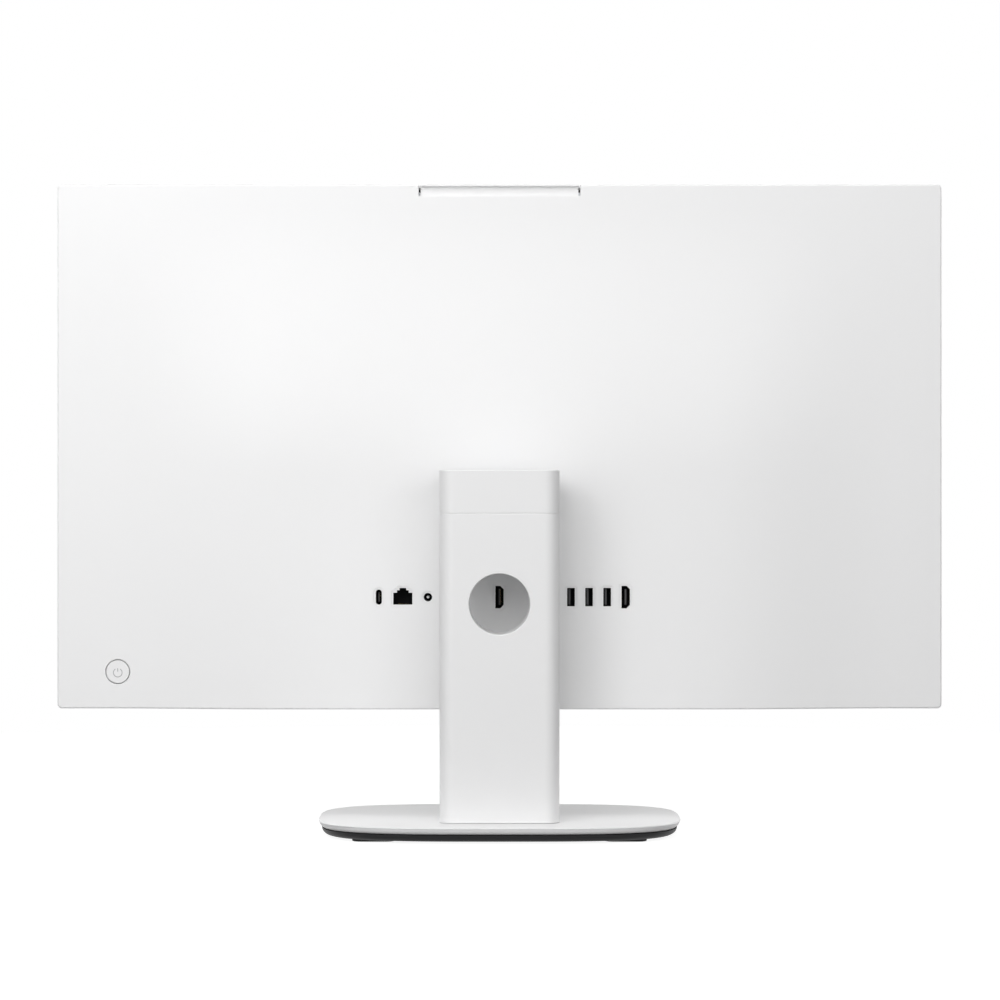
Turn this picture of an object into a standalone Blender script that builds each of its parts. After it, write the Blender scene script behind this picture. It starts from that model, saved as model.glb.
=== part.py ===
"""All-in-one desktop computer: a display with the computer inside it, tilting on a pedestal stand.

Metres, +Z up. The screen faces -Y and the sockets face +Y. The origin lies on the desk, under the
middle of the base.
"""

import math

import bmesh
import bpy
from mathutils import Vector

MM = 0.001

# Fits
SEAT_GAP = 0.3 * MM
SLIDE_GAP = 0.3 * MM
PIN_GAP = 0.15 * MM
OVERRUN = 2.0 * MM
ROUND_STEPS = 8
CIRCLE_STEPS = 24
SMALL_STEPS = 16
FILLET_STEPS = 4
SMOOTH_ANGLE = 35

# Base
BASE_WIDTH = 248 * MM
BASE_DEPTH = 182 * MM
BASE_SQUARENESS = 3.4
BASE_OUTLINE_STEPS = 60
BASE_COVER_THICK = 4.2 * MM
BASE_COVER_ROUND = 1.6 * MM
BASE_COVER_TUCK = 2.2 * MM
BASE_PLATE_THICK = 5.2 * MM
BASE_PLATE_INSET = 2.4 * MM
BASE_PLATE_SWEEP = 5.2 * MM
FOOT_HEIGHT = 1.3 * MM
FOOT_LENGTH = 29 * MM
FOOT_WIDTH = 14 * MM
FOOT_ROUND = 0.4 * MM
FOOT_SIDE_INSET = 39.5 * MM
FOOT_END_INSET = 30.5 * MM
CLAMP_SCREW_RADIUS = 3.0 * MM
CLAMP_HEAD_RADIUS = 9.0 * MM
CLAMP_HEAD_THICK = 1.5 * MM

# Column
COLUMN_WIDTH = 81 * MM
COLUMN_DEPTH = 44 * MM
COLUMN_CORNER = 10.5 * MM
COLUMN_WALL = 2.4 * MM
COLUMN_HEIGHT = 237.8 * MM
COLUMN_REAR_INSET = 30 * MM
COLUMN_SPLIT = 12 * MM
CAP_HEIGHT = 29.5 * MM
CAP_SEAM = 0.5 * MM
CAP_ROUND = 1.2 * MM
CABLE_HOLE_RADIUS = 20.5 * MM
CABLE_HOLE_RISE = 147.6 * MM
SLEEVE_WALL = 1.6 * MM
CORE_WALL = 2.5 * MM
CORE_DEPTH = 24 * MM
CORE_SIDE_ROOM = 5 * MM
CORE_FOOT = 7 * MM

# Tilt hinge
AXIS_DROP = 15.6 * MM
SHAFT_RADIUS = 4.0 * MM
SHAFT_HEAD_RADIUS = 6.5 * MM
SHAFT_HEAD_THICK = 3.0 * MM
SHAFT_TAIL = 1.0 * MM
NUT_RADIUS = 7.0 * MM
NUT_THICK = 5.0 * MM
NUT_ROOM = 1.2 * MM
NUT_SIDES = 6
EAR_THICK = 4.0 * MM
EAR_RADIUS = 9.5 * MM
WASHER_RADIUS = 8.0 * MM
WASHER_THICK = 1.2 * MM
KNUCKLE_RADIUS = 9.0 * MM
KNUCKLE_ROOM = 0.8 * MM
YOKE_PLATE = 3.0 * MM
ARM_THICK = 8 * MM
ARM_OPENING_ROOM = 1.0 * MM
FLANGE_THICK = 3.5 * MM
FLANGE_HEIGHT = 30 * MM
FLANGE_OVERHANG = 8 * MM
FLANGE_ROOM = 2.4 * MM
ARM_SCREW_RADIUS = 1.5 * MM
ARM_SCREW_HEAD = 2.8 * MM
ARM_SCREW_HEAD_THICK = 1.6 * MM
ARM_SCREW_INSET = 4.5 * MM
BRACKET_WALL = 2.0 * MM
BRACKET_FLANGE = 10 * MM
BRACKET_HEIGHT = 40 * MM

# Display housing
PANEL_WIDTH = 613 * MM
PANEL_HEIGHT = 363.1 * MM
PANEL_DEPTH = 20 * MM
PANEL_CORNER = 3.0 * MM
PANEL_EDGE_ROUND = 1.2 * MM
PANEL_HANG = 149 * MM
PANEL_STANDOFF = 17 * MM
SWELL_RISE = 11.5 * MM
SWELL_FLAT_HALF = 152 * MM
SWELL_FOOT_HALF = 272 * MM
SWELL_ABOVE_AXIS = 16 * MM
SWELL_BELOW_TOP = 16 * MM
SWELL_STEPS = 7
COVER_ROUND_STEPS = 3
COVER_ROUND_ANGLE = 60
COVER_SMOOTH_ANGLE = 25
COVER_WALL = 2.2 * MM
BEZEL_DEPTH = 7.0 * MM
BEZEL_RIM = 1.8 * MM
BEZEL_ROUND = 0.8 * MM
BEZEL_FACE = 2.0 * MM
CHIN_HEIGHT = 18 * MM
SCREEN_RECESS = 0.4 * MM
SCREEN_THICK = 2.4 * MM
TRAY_THICK = 4.9 * MM
TRAY_INSET = 2.5 * MM
TRAY_GROOVE_WIDTH = 12 * MM
TRAY_GROOVE_DEPTH = 1.2 * MM
TRAY_GROOVES = 4
CHASSIS_THICK = 1.2 * MM
CHASSIS_INSET = 5.0 * MM
VENT_WIDTH = 3.0 * MM
VENT_PITCH = 7.0 * MM
VENT_LENGTH = 11 * MM
VENT_COUNT = 12
VENT_STEPS = 3
VENT_OFFSET = 66 * MM
TOP_VENT_LENGTH = 5.0 * MM
TOP_VENT_OFFSET = 150 * MM

# Sockets, measured from the middle of the display and down from the tilt axis
PORT_DROP = 71.6 * MM
USB_C_X = 83.3 * MM
ETHERNET_X = 66.7 * MM
DC_INLET_X = 49.4 * MM
HDMI_CENTER_X = 0.0 * MM
USB_A_X = -49.3 * MM
USB_A_PITCH = 12.5 * MM
USB_A_COUNT = 3
HDMI_SIDE_X = -87.1 * MM
PORT_HOLE_ROOM = 0.15 * MM
PORT_RIM = 1.5 * MM
PORT_RIM_DEPTH = 0.4 * MM
PORT_FLOOR = 2.0 * MM
PORT_WALL = 0.8 * MM
TONGUE_SETBACK = 1.5 * MM
USB_A_WIDTH = 5.1 * MM
USB_A_LENGTH = 12.5 * MM
USB_A_TONGUE = 1.9 * MM
USB_C_WIDTH = 3.9 * MM
USB_C_LENGTH = 10.2 * MM
USB_C_TONGUE = 0.8 * MM
HDMI_WIDTH = 5.6 * MM
HDMI_LENGTH = 15.3 * MM
HDMI_CHAMFER = 2.3 * MM
HDMI_TONGUE = 1.2 * MM
ETHERNET_WIDTH = 12.8 * MM
ETHERNET_HEIGHT = 7.6 * MM
ETHERNET_STEP_WIDTH = 7.8 * MM
ETHERNET_STEP_HEIGHT = 1.7 * MM
ETHERNET_TAB_WIDTH = 4.3 * MM
ETHERNET_TAB_HEIGHT = 1.5 * MM
DC_HOLE_RADIUS = 2.75 * MM
DC_PIN_RADIUS = 0.8 * MM

# Power button
BUTTON_RADIUS = 8.0 * MM
BUTTON_RING = 0.5 * MM
BUTTON_INSET = 41.9 * MM
BUTTON_RISE = 25.4 * MM
BUTTON_TRAVEL = 1.2 * MM
BUTTON_LIP = 1.6 * MM
BUTTON_LIP_THICK = 1.0 * MM
BUTTON_STEM_RADIUS = 3.0 * MM
SWITCH_HEIGHT = 2.4 * MM
SWITCH_BOARD = 1.0 * MM
SWITCH_LENGTH = 26 * MM
SWITCH_WIDTH = 14 * MM
SWITCH_PLUNGER = 2.0 * MM

# Pull-up camera
CAMERA_LIP_WIDTH = 109.6 * MM
CAMERA_LIP_THICK = 1.2 * MM
CAMERA_SIDE_GAP = 1.2 * MM
CAMERA_BODY_WIDTH = 100 * MM
CAMERA_BODY_HEIGHT = 46 * MM
SCOOP_HEIGHT = 7.0 * MM
SCOOP_DEPTH = 3.2 * MM
SCOOP_WALL = 1.2 * MM
SCOOP_SLOT_HEIGHT = 1.7 * MM
SCOOP_DISH_DEPTH = 0.8 * MM
SCOOP_GROOVE_DEPTH = 2.4 * MM
SCOOP_GROOVE_LENGTH = 6.5 * MM
RAIL_WIDTH = 5.0 * MM
RAIL_DEPTH = 5.0 * MM
RAIL_HEIGHT = 38 * MM
RAIL_TONGUE = 1.6 * MM
RAIL_TONGUE_REACH = 2.0 * MM
CAMERA_WINDOW_WIDTH = 64 * MM
CAMERA_WINDOW_HEIGHT = 11 * MM
CAMERA_WINDOW_CORNER = 3.6 * MM
CAMERA_WINDOW_THICK = 0.8 * MM
CAMERA_WINDOW_DROP = 12 * MM

# Electronics
BOARD_WIDTH = 216 * MM
BOARD_SHIFT = -4 * MM
BOARD_THICK = 1.6 * MM
BOARD_FLOOR = 16 * MM
BOARD_TOP_GAP = 4 * MM
STANDOFF_HEIGHT = 3.0 * MM
STANDOFF_RADIUS = 3.0 * MM
STANDOFF_INSET = 5.0 * MM
PROCESSOR_SIZE = 36 * MM
PROCESSOR_HEIGHT = 26 * MM
PROCESSOR_THICK = 1.8 * MM
PROCESSOR_X = 8 * MM
PROCESSOR_RISE = 22 * MM
COLD_PLATE_MARGIN = 4 * MM
COLD_PLATE_THICK = 1.8 * MM
PIPE_RADIUS = 2.4 * MM
PIPE_STEPS = 12
PIPE_SIDES = 12
FAN_SIZE = 72 * MM
FAN_DEPTH = 9.0 * MM
FAN_GAP = 6 * MM
FAN_RISE = 62 * MM
FAN_WALL = 1.2 * MM
FAN_COVER_THICK = 0.8 * MM
FAN_INLET_RADIUS = 20 * MM
FAN_PIN_RADIUS = 1.5 * MM
ROTOR_RADIUS = 30 * MM
ROTOR_HUB_RADIUS = 12 * MM
ROTOR_DISC = 0.9 * MM
ROTOR_ROOM = 0.8 * MM
BLADE_COUNT = 21
BLADE_STEPS = 3
BLADE_THICK = 0.8 * MM
BLADE_SWEEP = math.radians(28)
FIN_COUNT = 22
FIN_THICK = 0.8 * MM
FIN_HEIGHT = 16 * MM
FIN_BASE = 1.2 * MM
MEMORY_WIDTH = 67.6 * MM
MEMORY_HEIGHT = 30 * MM
MEMORY_THICK = 1.2 * MM
MEMORY_CHIP = 0.9 * MM
MEMORY_CHIP_WIDTH = 12 * MM
MEMORY_CHIP_HEIGHT = 13 * MM
MEMORY_CHIP_RISE = 11 * MM
MEMORY_CHIPS = 4
MEMORY_SOCKET_HEIGHT = 6.5 * MM
MEMORY_SOCKET_DEPTH = 9.6 * MM
MEMORY_LEVEL = 2.4 * MM
MEMORY_PITCH = 4.6 * MM
MEMORY_BITE = 3.5 * MM
CARD_INSET = 6 * MM
STORAGE_LENGTH = 80 * MM
STORAGE_CHIPS = 3
CARD_WIDTH = 22 * MM
CARD_THICK = 0.9 * MM
CARD_LIFT = 2.2 * MM
CARD_CHIP = 1.2 * MM
CARD_CHIP_GAP = 4 * MM
CARD_FOOT = 6 * MM
WIRELESS_LENGTH = 30 * MM
WIRELESS_CHIPS = 1
WIRELESS_X = 34 * MM
SPEAKER_HEIGHT = 28 * MM
SPEAKER_FLOOR = 6 * MM
SPEAKER_SIDE_ROOM = 6 * MM
SPEAKER_CONE_RADIUS = 10 * MM
SPEAKER_CONE_DEPTH = 3.0 * MM

# Heights of the stand
PLATE_BOTTOM = FOOT_HEIGHT + SEAT_GAP
PLATE_TOP = PLATE_BOTTOM + BASE_PLATE_THICK
COVER_BOTTOM = PLATE_TOP + SEAT_GAP
BASE_TOP = COVER_BOTTOM + BASE_COVER_THICK
COLUMN_BOTTOM = BASE_TOP + SEAT_GAP
COLUMN_TOP = BASE_TOP + COLUMN_HEIGHT
SEAM_Z = COLUMN_TOP - CAP_HEIGHT
AXIS_Z = COLUMN_TOP - AXIS_DROP
HOLE_Z = BASE_TOP + CABLE_HOLE_RISE

# Depths, from the rear of the column forwards to the screen
COLUMN_REAR = BASE_DEPTH / 2 - COLUMN_REAR_INSET
COLUMN_FRONT = COLUMN_REAR - COLUMN_DEPTH
COLUMN_MIDDLE = (COLUMN_REAR + COLUMN_FRONT) / 2
SWELL_BACK = COLUMN_FRONT - PANEL_STANDOFF
PANEL_BACK = SWELL_BACK - SWELL_RISE
PANEL_FRONT = PANEL_BACK - PANEL_DEPTH
BEZEL_BACK = PANEL_FRONT + BEZEL_DEPTH
COVER_FRONT = BEZEL_BACK + SEAT_GAP
SCREEN_FRONT = PANEL_FRONT + SCREEN_RECESS
SCREEN_BACK = SCREEN_FRONT + SCREEN_THICK
TRAY_FRONT = SCREEN_BACK + SEAT_GAP
TRAY_BACK = TRAY_FRONT + TRAY_THICK
CHASSIS_FRONT = TRAY_BACK + SEAT_GAP
CHASSIS_BACK = CHASSIS_FRONT + CHASSIS_THICK
CHASSIS_SEAT = CHASSIS_BACK + SEAT_GAP
BOARD_FRONT = CHASSIS_BACK + STANDOFF_HEIGHT + SEAT_GAP
BOARD_BACK = BOARD_FRONT + BOARD_THICK
BOARD_SEAT = BOARD_BACK + SEAT_GAP
SWELL_INNER = SWELL_BACK - COVER_WALL
FLAT_INNER = PANEL_BACK - COVER_WALL

# Hinge widths, from the walls of the cap inwards
EAR_OUTER = COLUMN_WIDTH / 2 - COLUMN_WALL - NUT_ROOM - SHAFT_TAIL - NUT_THICK - SEAT_GAP
EAR_INNER = EAR_OUTER - EAR_THICK
ARM_HALF = EAR_INNER - WASHER_THICK - 2 * SEAT_GAP
CORE_HALF = COLUMN_WIDTH / 2 - COLUMN_WALL - CORE_SIDE_ROOM
YOKE_TOP = AXIS_Z - KNUCKLE_RADIUS - KNUCKLE_ROOM
YOKE_BOTTOM = YOKE_TOP - YOKE_PLATE
CORE_TOP = YOKE_BOTTOM - SEAT_GAP
FLANGE_BACK = SWELL_INNER - FLANGE_ROOM
FLANGE_FRONT = FLANGE_BACK - FLANGE_THICK
FLANGE_HALF = ARM_HALF + FLANGE_OVERHANG
BRACKET_BACK = FLANGE_FRONT - SEAT_GAP

# Edges of the display
PANEL_SIDE = PANEL_WIDTH / 2
PANEL_BOTTOM = AXIS_Z - PANEL_HANG
PANEL_TOP = PANEL_BOTTOM + PANEL_HEIGHT
SWELL_FLAT_TOP = AXIS_Z + SWELL_ABOVE_AXIS
SWELL_FADE_TOP = PANEL_TOP - SWELL_BELOW_TOP
PORT_Z = AXIS_Z - PORT_DROP
BUTTON_X = PANEL_SIDE - BUTTON_INSET
BUTTON_Z = PANEL_BOTTOM + BUTTON_RISE
SWITCH_TOP = CHASSIS_SEAT + SWITCH_HEIGHT

# Places on the mainboard
BOARD_LEFT = BOARD_SHIFT - BOARD_WIDTH / 2
BOARD_RIGHT = BOARD_SHIFT + BOARD_WIDTH / 2
BOARD_BOTTOM = PANEL_BOTTOM + BOARD_FLOOR
BOARD_TOP = AXIS_Z - BRACKET_HEIGHT / 2 - BOARD_TOP_GAP
FAN_X = BOARD_RIGHT + FAN_GAP + FAN_SIZE / 2
FAN_Z = BOARD_BOTTOM + FAN_RISE
FIN_TOP = FAN_Z - FAN_SIZE / 2 - SEAT_GAP
FIN_BACK = BOARD_SEAT + PROCESSOR_THICK + SEAT_GAP + COLD_PLATE_THICK
PIPE_Y = FIN_BACK + SEAT_GAP + PIPE_RADIUS

# Camera slide
SCOOP_FRONT = PANEL_BACK - SCOOP_DEPTH - SCOOP_WALL
CAMERA_FRONT = CHASSIS_SEAT
CAMERA_BACK = SCOOP_FRONT - SLIDE_GAP
LIP_BOTTOM = PANEL_TOP - CAMERA_LIP_THICK
NOTCH_HALF = CAMERA_LIP_WIDTH / 2 + CAMERA_SIDE_GAP
SCOOP_BOTTOM = LIP_BOTTOM - SCOOP_HEIGHT

# Finishes: colour, roughness, metallic
WHITE_PLASTIC = ((0.86, 0.86, 0.86), 0.55, 0.0)
BLACK_PLASTIC = ((0.02, 0.02, 0.022), 0.5, 0.0)
BLACK_PAINT = ((0.03, 0.03, 0.032), 0.45, 0.3)
RUBBER = ((0.015, 0.015, 0.016), 0.85, 0.0)
STEEL = ((0.55, 0.56, 0.58), 0.35, 1.0)
NICKEL = ((0.62, 0.61, 0.58), 0.3, 1.0)
COPPER = ((0.80, 0.42, 0.26), 0.3, 1.0)
ALUMINIUM = ((0.75, 0.76, 0.78), 0.35, 1.0)
SCREEN_GLASS = ((0.006, 0.006, 0.008), 0.18, 0.0)
CIRCUIT_BOARD = ((0.01, 0.07, 0.05), 0.45, 0.0)
SILICON = ((0.12, 0.12, 0.13), 0.3, 0.4)


def clear_scene():
    """Start from an empty scene."""
    for obj in list(bpy.data.objects):
        bpy.data.objects.remove(obj, do_unlink=True)


def rectangle(left, right, low, high):
    """Outline of a rectangle between two pairs of edges."""
    return [(left, low), (right, low), (right, high), (left, high)]


def rounded_rectangle(width, height, radius, steps=ROUND_STEPS):
    """Outline of a rectangle with round corners, about the origin."""
    points = []
    for corner, (side, end) in enumerate(((1, 1), (-1, 1), (-1, -1), (1, -1))):
        for step in range(steps + 1):
            angle = math.pi / 2 * (corner + step / steps)
            across = side * (width / 2 - radius) + radius * math.cos(angle)
            along = end * (height / 2 - radius) + radius * math.sin(angle)
            points.append((across, along))
    return points


def circle(radius, steps=CIRCLE_STEPS):
    """Outline of a circle about the origin."""
    turns = [2 * math.pi * step / steps for step in range(steps)]
    return [(radius * math.cos(turn), radius * math.sin(turn)) for turn in turns]


def stadium(width, length, steps=ROUND_STEPS):
    """Outline of an upright slot with round ends, about the origin."""
    points = []
    for end, start in ((1, 0.0), (-1, math.pi)):
        for step in range(steps + 1):
            angle = start + math.pi * step / steps
            along = end * (length - width) / 2 + width / 2 * math.sin(angle)
            points.append((width / 2 * math.cos(angle), along))
    return points


def moved(outline, across, along):
    """The same outline at another place."""
    return [(point[0] + across, point[1] + along) for point in outline]


def on_axis(point, axis, position):
    """Place an outline's point: (Y, Z) along X, (X, Z) along Y, (X, Y) along Z."""
    if axis == "X":
        return (position, point[0], point[1])
    if axis == "Y":
        return (point[0], position, point[1])
    return (point[0], point[1], position)


def loft(sections, axis):
    """Closed shape through outlines with equal counts, each given with its position on the axis."""
    shape = bmesh.new()
    rings = []
    for outline, position in sections:
        rings.append([shape.verts.new(on_axis(point, axis, position)) for point in outline])
    shape.faces.new(rings[0])
    shape.faces.new(rings[-1])
    for ring, following in zip(rings, rings[1:]):
        for index in range(len(ring)):
            beside = (index + 1) % len(ring)
            shape.faces.new((ring[index], ring[beside], following[beside], following[index]))
    bmesh.ops.recalc_face_normals(shape, faces=shape.faces)
    return shape


def sweep(outline, axis, start, end):
    """An outline swept straight along an axis."""
    return loft([(outline, start), (outline, end)], axis)


def block(x_span, y_span, z_span):
    """A rectangular block between three pairs of planes."""
    return sweep(rectangle(*x_span, *y_span), "Z", *z_span)


def turned(profile, axis, centre=(0.0, 0.0), steps=CIRCLE_STEPS):
    """A shape of revolution from pairs of position and radius along an axis."""
    sections = [(moved(circle(radius, steps), *centre), position) for position, radius in profile]
    return loft(sections, axis)


def tube(outer, inner, axis, start, end):
    """A straight tube between two outlines with equal counts."""
    shape = bmesh.new()
    rings = []
    for outline, position in ((outer, start), (outer, end), (inner, end), (inner, start)):
        rings.append([shape.verts.new(on_axis(point, axis, position)) for point in outline])
    for ring, following in zip(rings, rings[1:] + rings[:1]):
        for index in range(len(ring)):
            beside = (index + 1) % len(ring)
            shape.faces.new((ring[index], ring[beside], following[beside], following[index]))
    bmesh.ops.recalc_face_normals(shape, faces=shape.faces)
    return shape


def gathered(shapes):
    """Several shapes that stay clear of each other, as one."""
    whole = bmesh.new()
    for shape in shapes:
        part = bpy.data.meshes.new("gathered")
        shape.to_mesh(part)
        shape.free()
        whole.from_mesh(part)
        bpy.data.meshes.remove(part)
    return whole


def piece(name, shape, finish):
    """A named object with its own material, made from a shape."""
    colour, roughness, metallic = finish
    material = bpy.data.materials.new(name)
    material.use_nodes = True
    shader = material.node_tree.nodes["Principled BSDF"]
    shader.inputs["Base Color"].default_value = (*colour, 1.0)
    shader.inputs["Roughness"].default_value = roughness
    shader.inputs["Metallic"].default_value = metallic
    mesh = bpy.data.meshes.new(name)
    shape.to_mesh(mesh)
    shape.free()
    mesh.materials.append(material)
    obj = bpy.data.objects.new(name, mesh)
    bpy.context.scene.collection.objects.link(obj)
    return obj


def combined(obj, shape, operation):
    """Join a shape to an object or cut it away, and keep the result as the object's mesh."""
    mesh = bpy.data.meshes.new("tool")
    shape.to_mesh(mesh)
    shape.free()
    tool = bpy.data.objects.new("tool", mesh)
    bpy.context.scene.collection.objects.link(tool)
    modifier = obj.modifiers.new("combine", "BOOLEAN")
    modifier.operation = operation
    modifier.object = tool
    graph = bpy.context.evaluated_depsgraph_get()
    result = bpy.data.meshes.new_from_object(obj.evaluated_get(graph))
    obj.modifiers.clear()
    obj.data = result
    bpy.data.objects.remove(tool, do_unlink=True)
    bpy.data.meshes.remove(mesh)


def cut(obj, *shapes):
    """Cut each shape out of an object, one after the other."""
    for shape in shapes:
        combined(obj, shape, "DIFFERENCE")


def join(obj, *shapes):
    """Join each shape to an object, one after the other."""
    for shape in shapes:
        combined(obj, shape, "UNION")


def smooth(obj, angle=SMOOTH_ANGLE):
    """Shade round faces smooth and keep the corners sharp."""
    obj.data.shade_smooth()
    obj.data.set_sharp_from_angle(angle=math.radians(angle))
    return obj


def rounding(radius, steps=FILLET_STEPS):
    """Pairs of inset and drop for a quarter round, from the flank to the face."""
    turns = [math.pi / 2 * step / steps for step in range(steps + 1)]
    return [(radius * (1 - math.cos(turn)), radius * (1 - math.sin(turn))) for turn in turns]


def base_outline(inset):
    """Plan of the base, between an ellipse and a rectangle, drawn in by an inset."""
    points = []
    for step in range(BASE_OUTLINE_STEPS):
        turn = 2 * math.pi * step / BASE_OUTLINE_STEPS
        shares = []
        for share in (math.cos(turn), math.sin(turn)):
            shares.append(math.copysign(abs(share) ** (2 / BASE_SQUARENESS), share))
        points.append(((BASE_WIDTH / 2 - inset) * shares[0], (BASE_DEPTH / 2 - inset) * shares[1]))
    return points


def build_base():
    """Steel plate, white cover, four feet and the clamp screw."""
    recess_top = PLATE_BOTTOM + CLAMP_HEAD_THICK + 2 * SEAT_GAP
    centre = (0.0, COLUMN_MIDDLE)
    sections = []
    for inward, upward in reversed(rounding(1.0)):
        inset = BASE_PLATE_INSET + BASE_PLATE_SWEEP * inward
        sections.append((base_outline(inset), PLATE_BOTTOM + BASE_PLATE_THICK * upward))
    plate = piece("base_plate", loft(sections, "Z"), BLACK_PAINT)
    recess = moved(circle(CLAMP_HEAD_RADIUS + SEAT_GAP), *centre)
    bore = moved(circle(CLAMP_SCREW_RADIUS + SEAT_GAP), *centre)
    cut(plate, sweep(recess, "Z", PLATE_BOTTOM - OVERRUN, recess_top))
    cut(plate, sweep(bore, "Z", PLATE_BOTTOM, PLATE_TOP + OVERRUN))

    sections = [(base_outline(BASE_COVER_TUCK), COVER_BOTTOM)]
    for inset, drop in rounding(BASE_COVER_ROUND):
        sections.append((base_outline(inset), BASE_TOP - drop))
    cover = piece("base_cover", loft(sections, "Z"), WHITE_PLASTIC)
    window_half = CORE_HALF + SEAT_GAP
    window_y = (COLUMN_MIDDLE - CORE_DEPTH / 2 - SEAT_GAP, COLUMN_MIDDLE + CORE_DEPTH / 2 + SEAT_GAP)
    cut(cover, block((-window_half, window_half), window_y, (COVER_BOTTOM - OVERRUN, BASE_TOP + OVERRUN)))

    pieces = [smooth(plate), smooth(cover)]
    foot_x = BASE_WIDTH / 2 - FOOT_SIDE_INSET
    foot_y = BASE_DEPTH / 2 - FOOT_END_INSET
    for end, along in (("front", -1), ("rear", 1)):
        for side, across in (("left", -1), ("right", 1)):
            outline = rounded_rectangle(FOOT_LENGTH, FOOT_WIDTH, FOOT_WIDTH / 2 - FOOT_ROUND)
            lower = rounded_rectangle(
                FOOT_LENGTH - 2 * FOOT_ROUND, FOOT_WIDTH - 2 * FOOT_ROUND, FOOT_WIDTH / 2 - 2 * FOOT_ROUND)
            sections = [(lower, 0.0), (outline, FOOT_ROUND), (outline, FOOT_HEIGHT)]
            foot = piece(f"foot_{end}_{side}", loft(sections, "Z"), RUBBER)
            foot.location = (across * foot_x, along * foot_y, 0.0)
            pieces.append(smooth(foot))

    head_bottom = PLATE_BOTTOM + SEAT_GAP
    head_top = head_bottom + CLAMP_HEAD_THICK
    profile = [
        (head_bottom, CLAMP_HEAD_RADIUS),
        (head_top, CLAMP_HEAD_RADIUS),
        (head_top, CLAMP_SCREW_RADIUS),
        (PLATE_TOP + CORE_FOOT, CLAMP_SCREW_RADIUS),
    ]
    pieces.append(smooth(piece("clamp_screw", turned(profile, "Z", centre), STEEL)))
    return pieces


def column_outline(inset):
    """Plan of the column, drawn in by an inset."""
    radius = COLUMN_CORNER - inset
    outline = rounded_rectangle(COLUMN_WIDTH - 2 * inset, COLUMN_DEPTH - 2 * inset, radius)
    return moved(outline, 0.0, COLUMN_MIDDLE)


def build_column():
    """Steel core, the two shells around it, the hinge cap and the sleeve of the cable hole."""
    wide = COLUMN_WIDTH
    seam = COLUMN_FRONT + COLUMN_SPLIT
    heights = (COLUMN_BOTTOM - OVERRUN, SEAM_Z + OVERRUN)
    hole = moved(circle(CABLE_HOLE_RADIUS, 2 * CIRCLE_STEPS), 0.0, HOLE_Z)
    shells = []
    for name, cut_span in (
            ("column_rear_shell", (COLUMN_FRONT - OVERRUN, seam)),
            ("column_front_shell", (seam - SEAT_GAP, COLUMN_REAR + OVERRUN))):
        shell = tube(column_outline(0.0), column_outline(COLUMN_WALL), "Z", COLUMN_BOTTOM, SEAM_Z)
        shell = piece(name, shell, WHITE_PLASTIC)
        cut(shell, block((-wide, wide), cut_span, heights))
        cut(shell, sweep(hole, "Y", COLUMN_FRONT - OVERRUN, COLUMN_REAR + OVERRUN))
        shells.append(smooth(shell))

    sleeve_outer = moved(circle(CABLE_HOLE_RADIUS + SLEEVE_WALL, 2 * CIRCLE_STEPS), 0.0, HOLE_Z)
    sleeve_front = COLUMN_FRONT + COLUMN_WALL + SEAT_GAP
    sleeve_rear = COLUMN_REAR - COLUMN_WALL - SEAT_GAP
    sleeve = piece("cable_sleeve", tube(sleeve_outer, hole, "Y", sleeve_front, sleeve_rear), WHITE_PLASTIC)

    sections = [(column_outline(0.0), SEAM_Z + CAP_SEAM)]
    for inset, drop in rounding(CAP_ROUND):
        sections.append((column_outline(inset), COLUMN_TOP - drop))
    cap = piece("hinge_cap", loft(sections, "Z"), WHITE_PLASTIC)
    cut(cap, sweep(column_outline(COLUMN_WALL), "Z", SEAM_Z - OVERRUN, COLUMN_TOP - COLUMN_WALL))
    mouth_half = ARM_HALF + ARM_OPENING_ROOM
    mouth_y = (COLUMN_FRONT - OVERRUN, COLUMN_FRONT + COLUMN_WALL + OVERRUN)
    cut(cap, block((-mouth_half, mouth_half), mouth_y, (SEAM_Z - OVERRUN, COLUMN_TOP - COLUMN_WALL)))

    core_front = COLUMN_MIDDLE - CORE_DEPTH / 2
    core_rear = COLUMN_MIDDLE + CORE_DEPTH / 2
    channel = [
        (-CORE_HALF, core_front), (-CORE_HALF, core_rear), (CORE_HALF, core_rear), (CORE_HALF, core_front),
        (CORE_HALF - CORE_WALL, core_front), (CORE_HALF - CORE_WALL, core_rear - CORE_WALL),
        (CORE_WALL - CORE_HALF, core_rear - CORE_WALL), (CORE_WALL - CORE_HALF, core_front),
    ]
    core = piece("column_core", sweep(channel, "Z", COVER_BOTTOM, CORE_TOP), STEEL)
    foot_x = (CORE_WALL / 2 - CORE_HALF, CORE_HALF - CORE_WALL / 2)
    foot_y = (core_front, core_rear - CORE_WALL / 2)
    join(core, block(foot_x, foot_y, (COVER_BOTTOM, COVER_BOTTOM + CORE_FOOT)))
    clear_hole = CABLE_HOLE_RADIUS + SLEEVE_WALL + SEAT_GAP
    cut(core, sweep(moved(circle(clear_hole), 0.0, HOLE_Z), "Y", COLUMN_FRONT, COLUMN_REAR))
    bore = moved(circle(CLAMP_SCREW_RADIUS + SEAT_GAP), 0.0, COLUMN_MIDDLE)
    cut(core, sweep(bore, "Z", COVER_BOTTOM - OVERRUN, COVER_BOTTOM + CORE_FOOT + OVERRUN))
    return shells + [smooth(sleeve), smooth(cap), smooth(core)]


def axis_circle(radius):
    """Outline of a circle about the tilt axis, in Y and Z."""
    return moved(circle(radius), COLUMN_MIDDLE, AXIS_Z)


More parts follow.
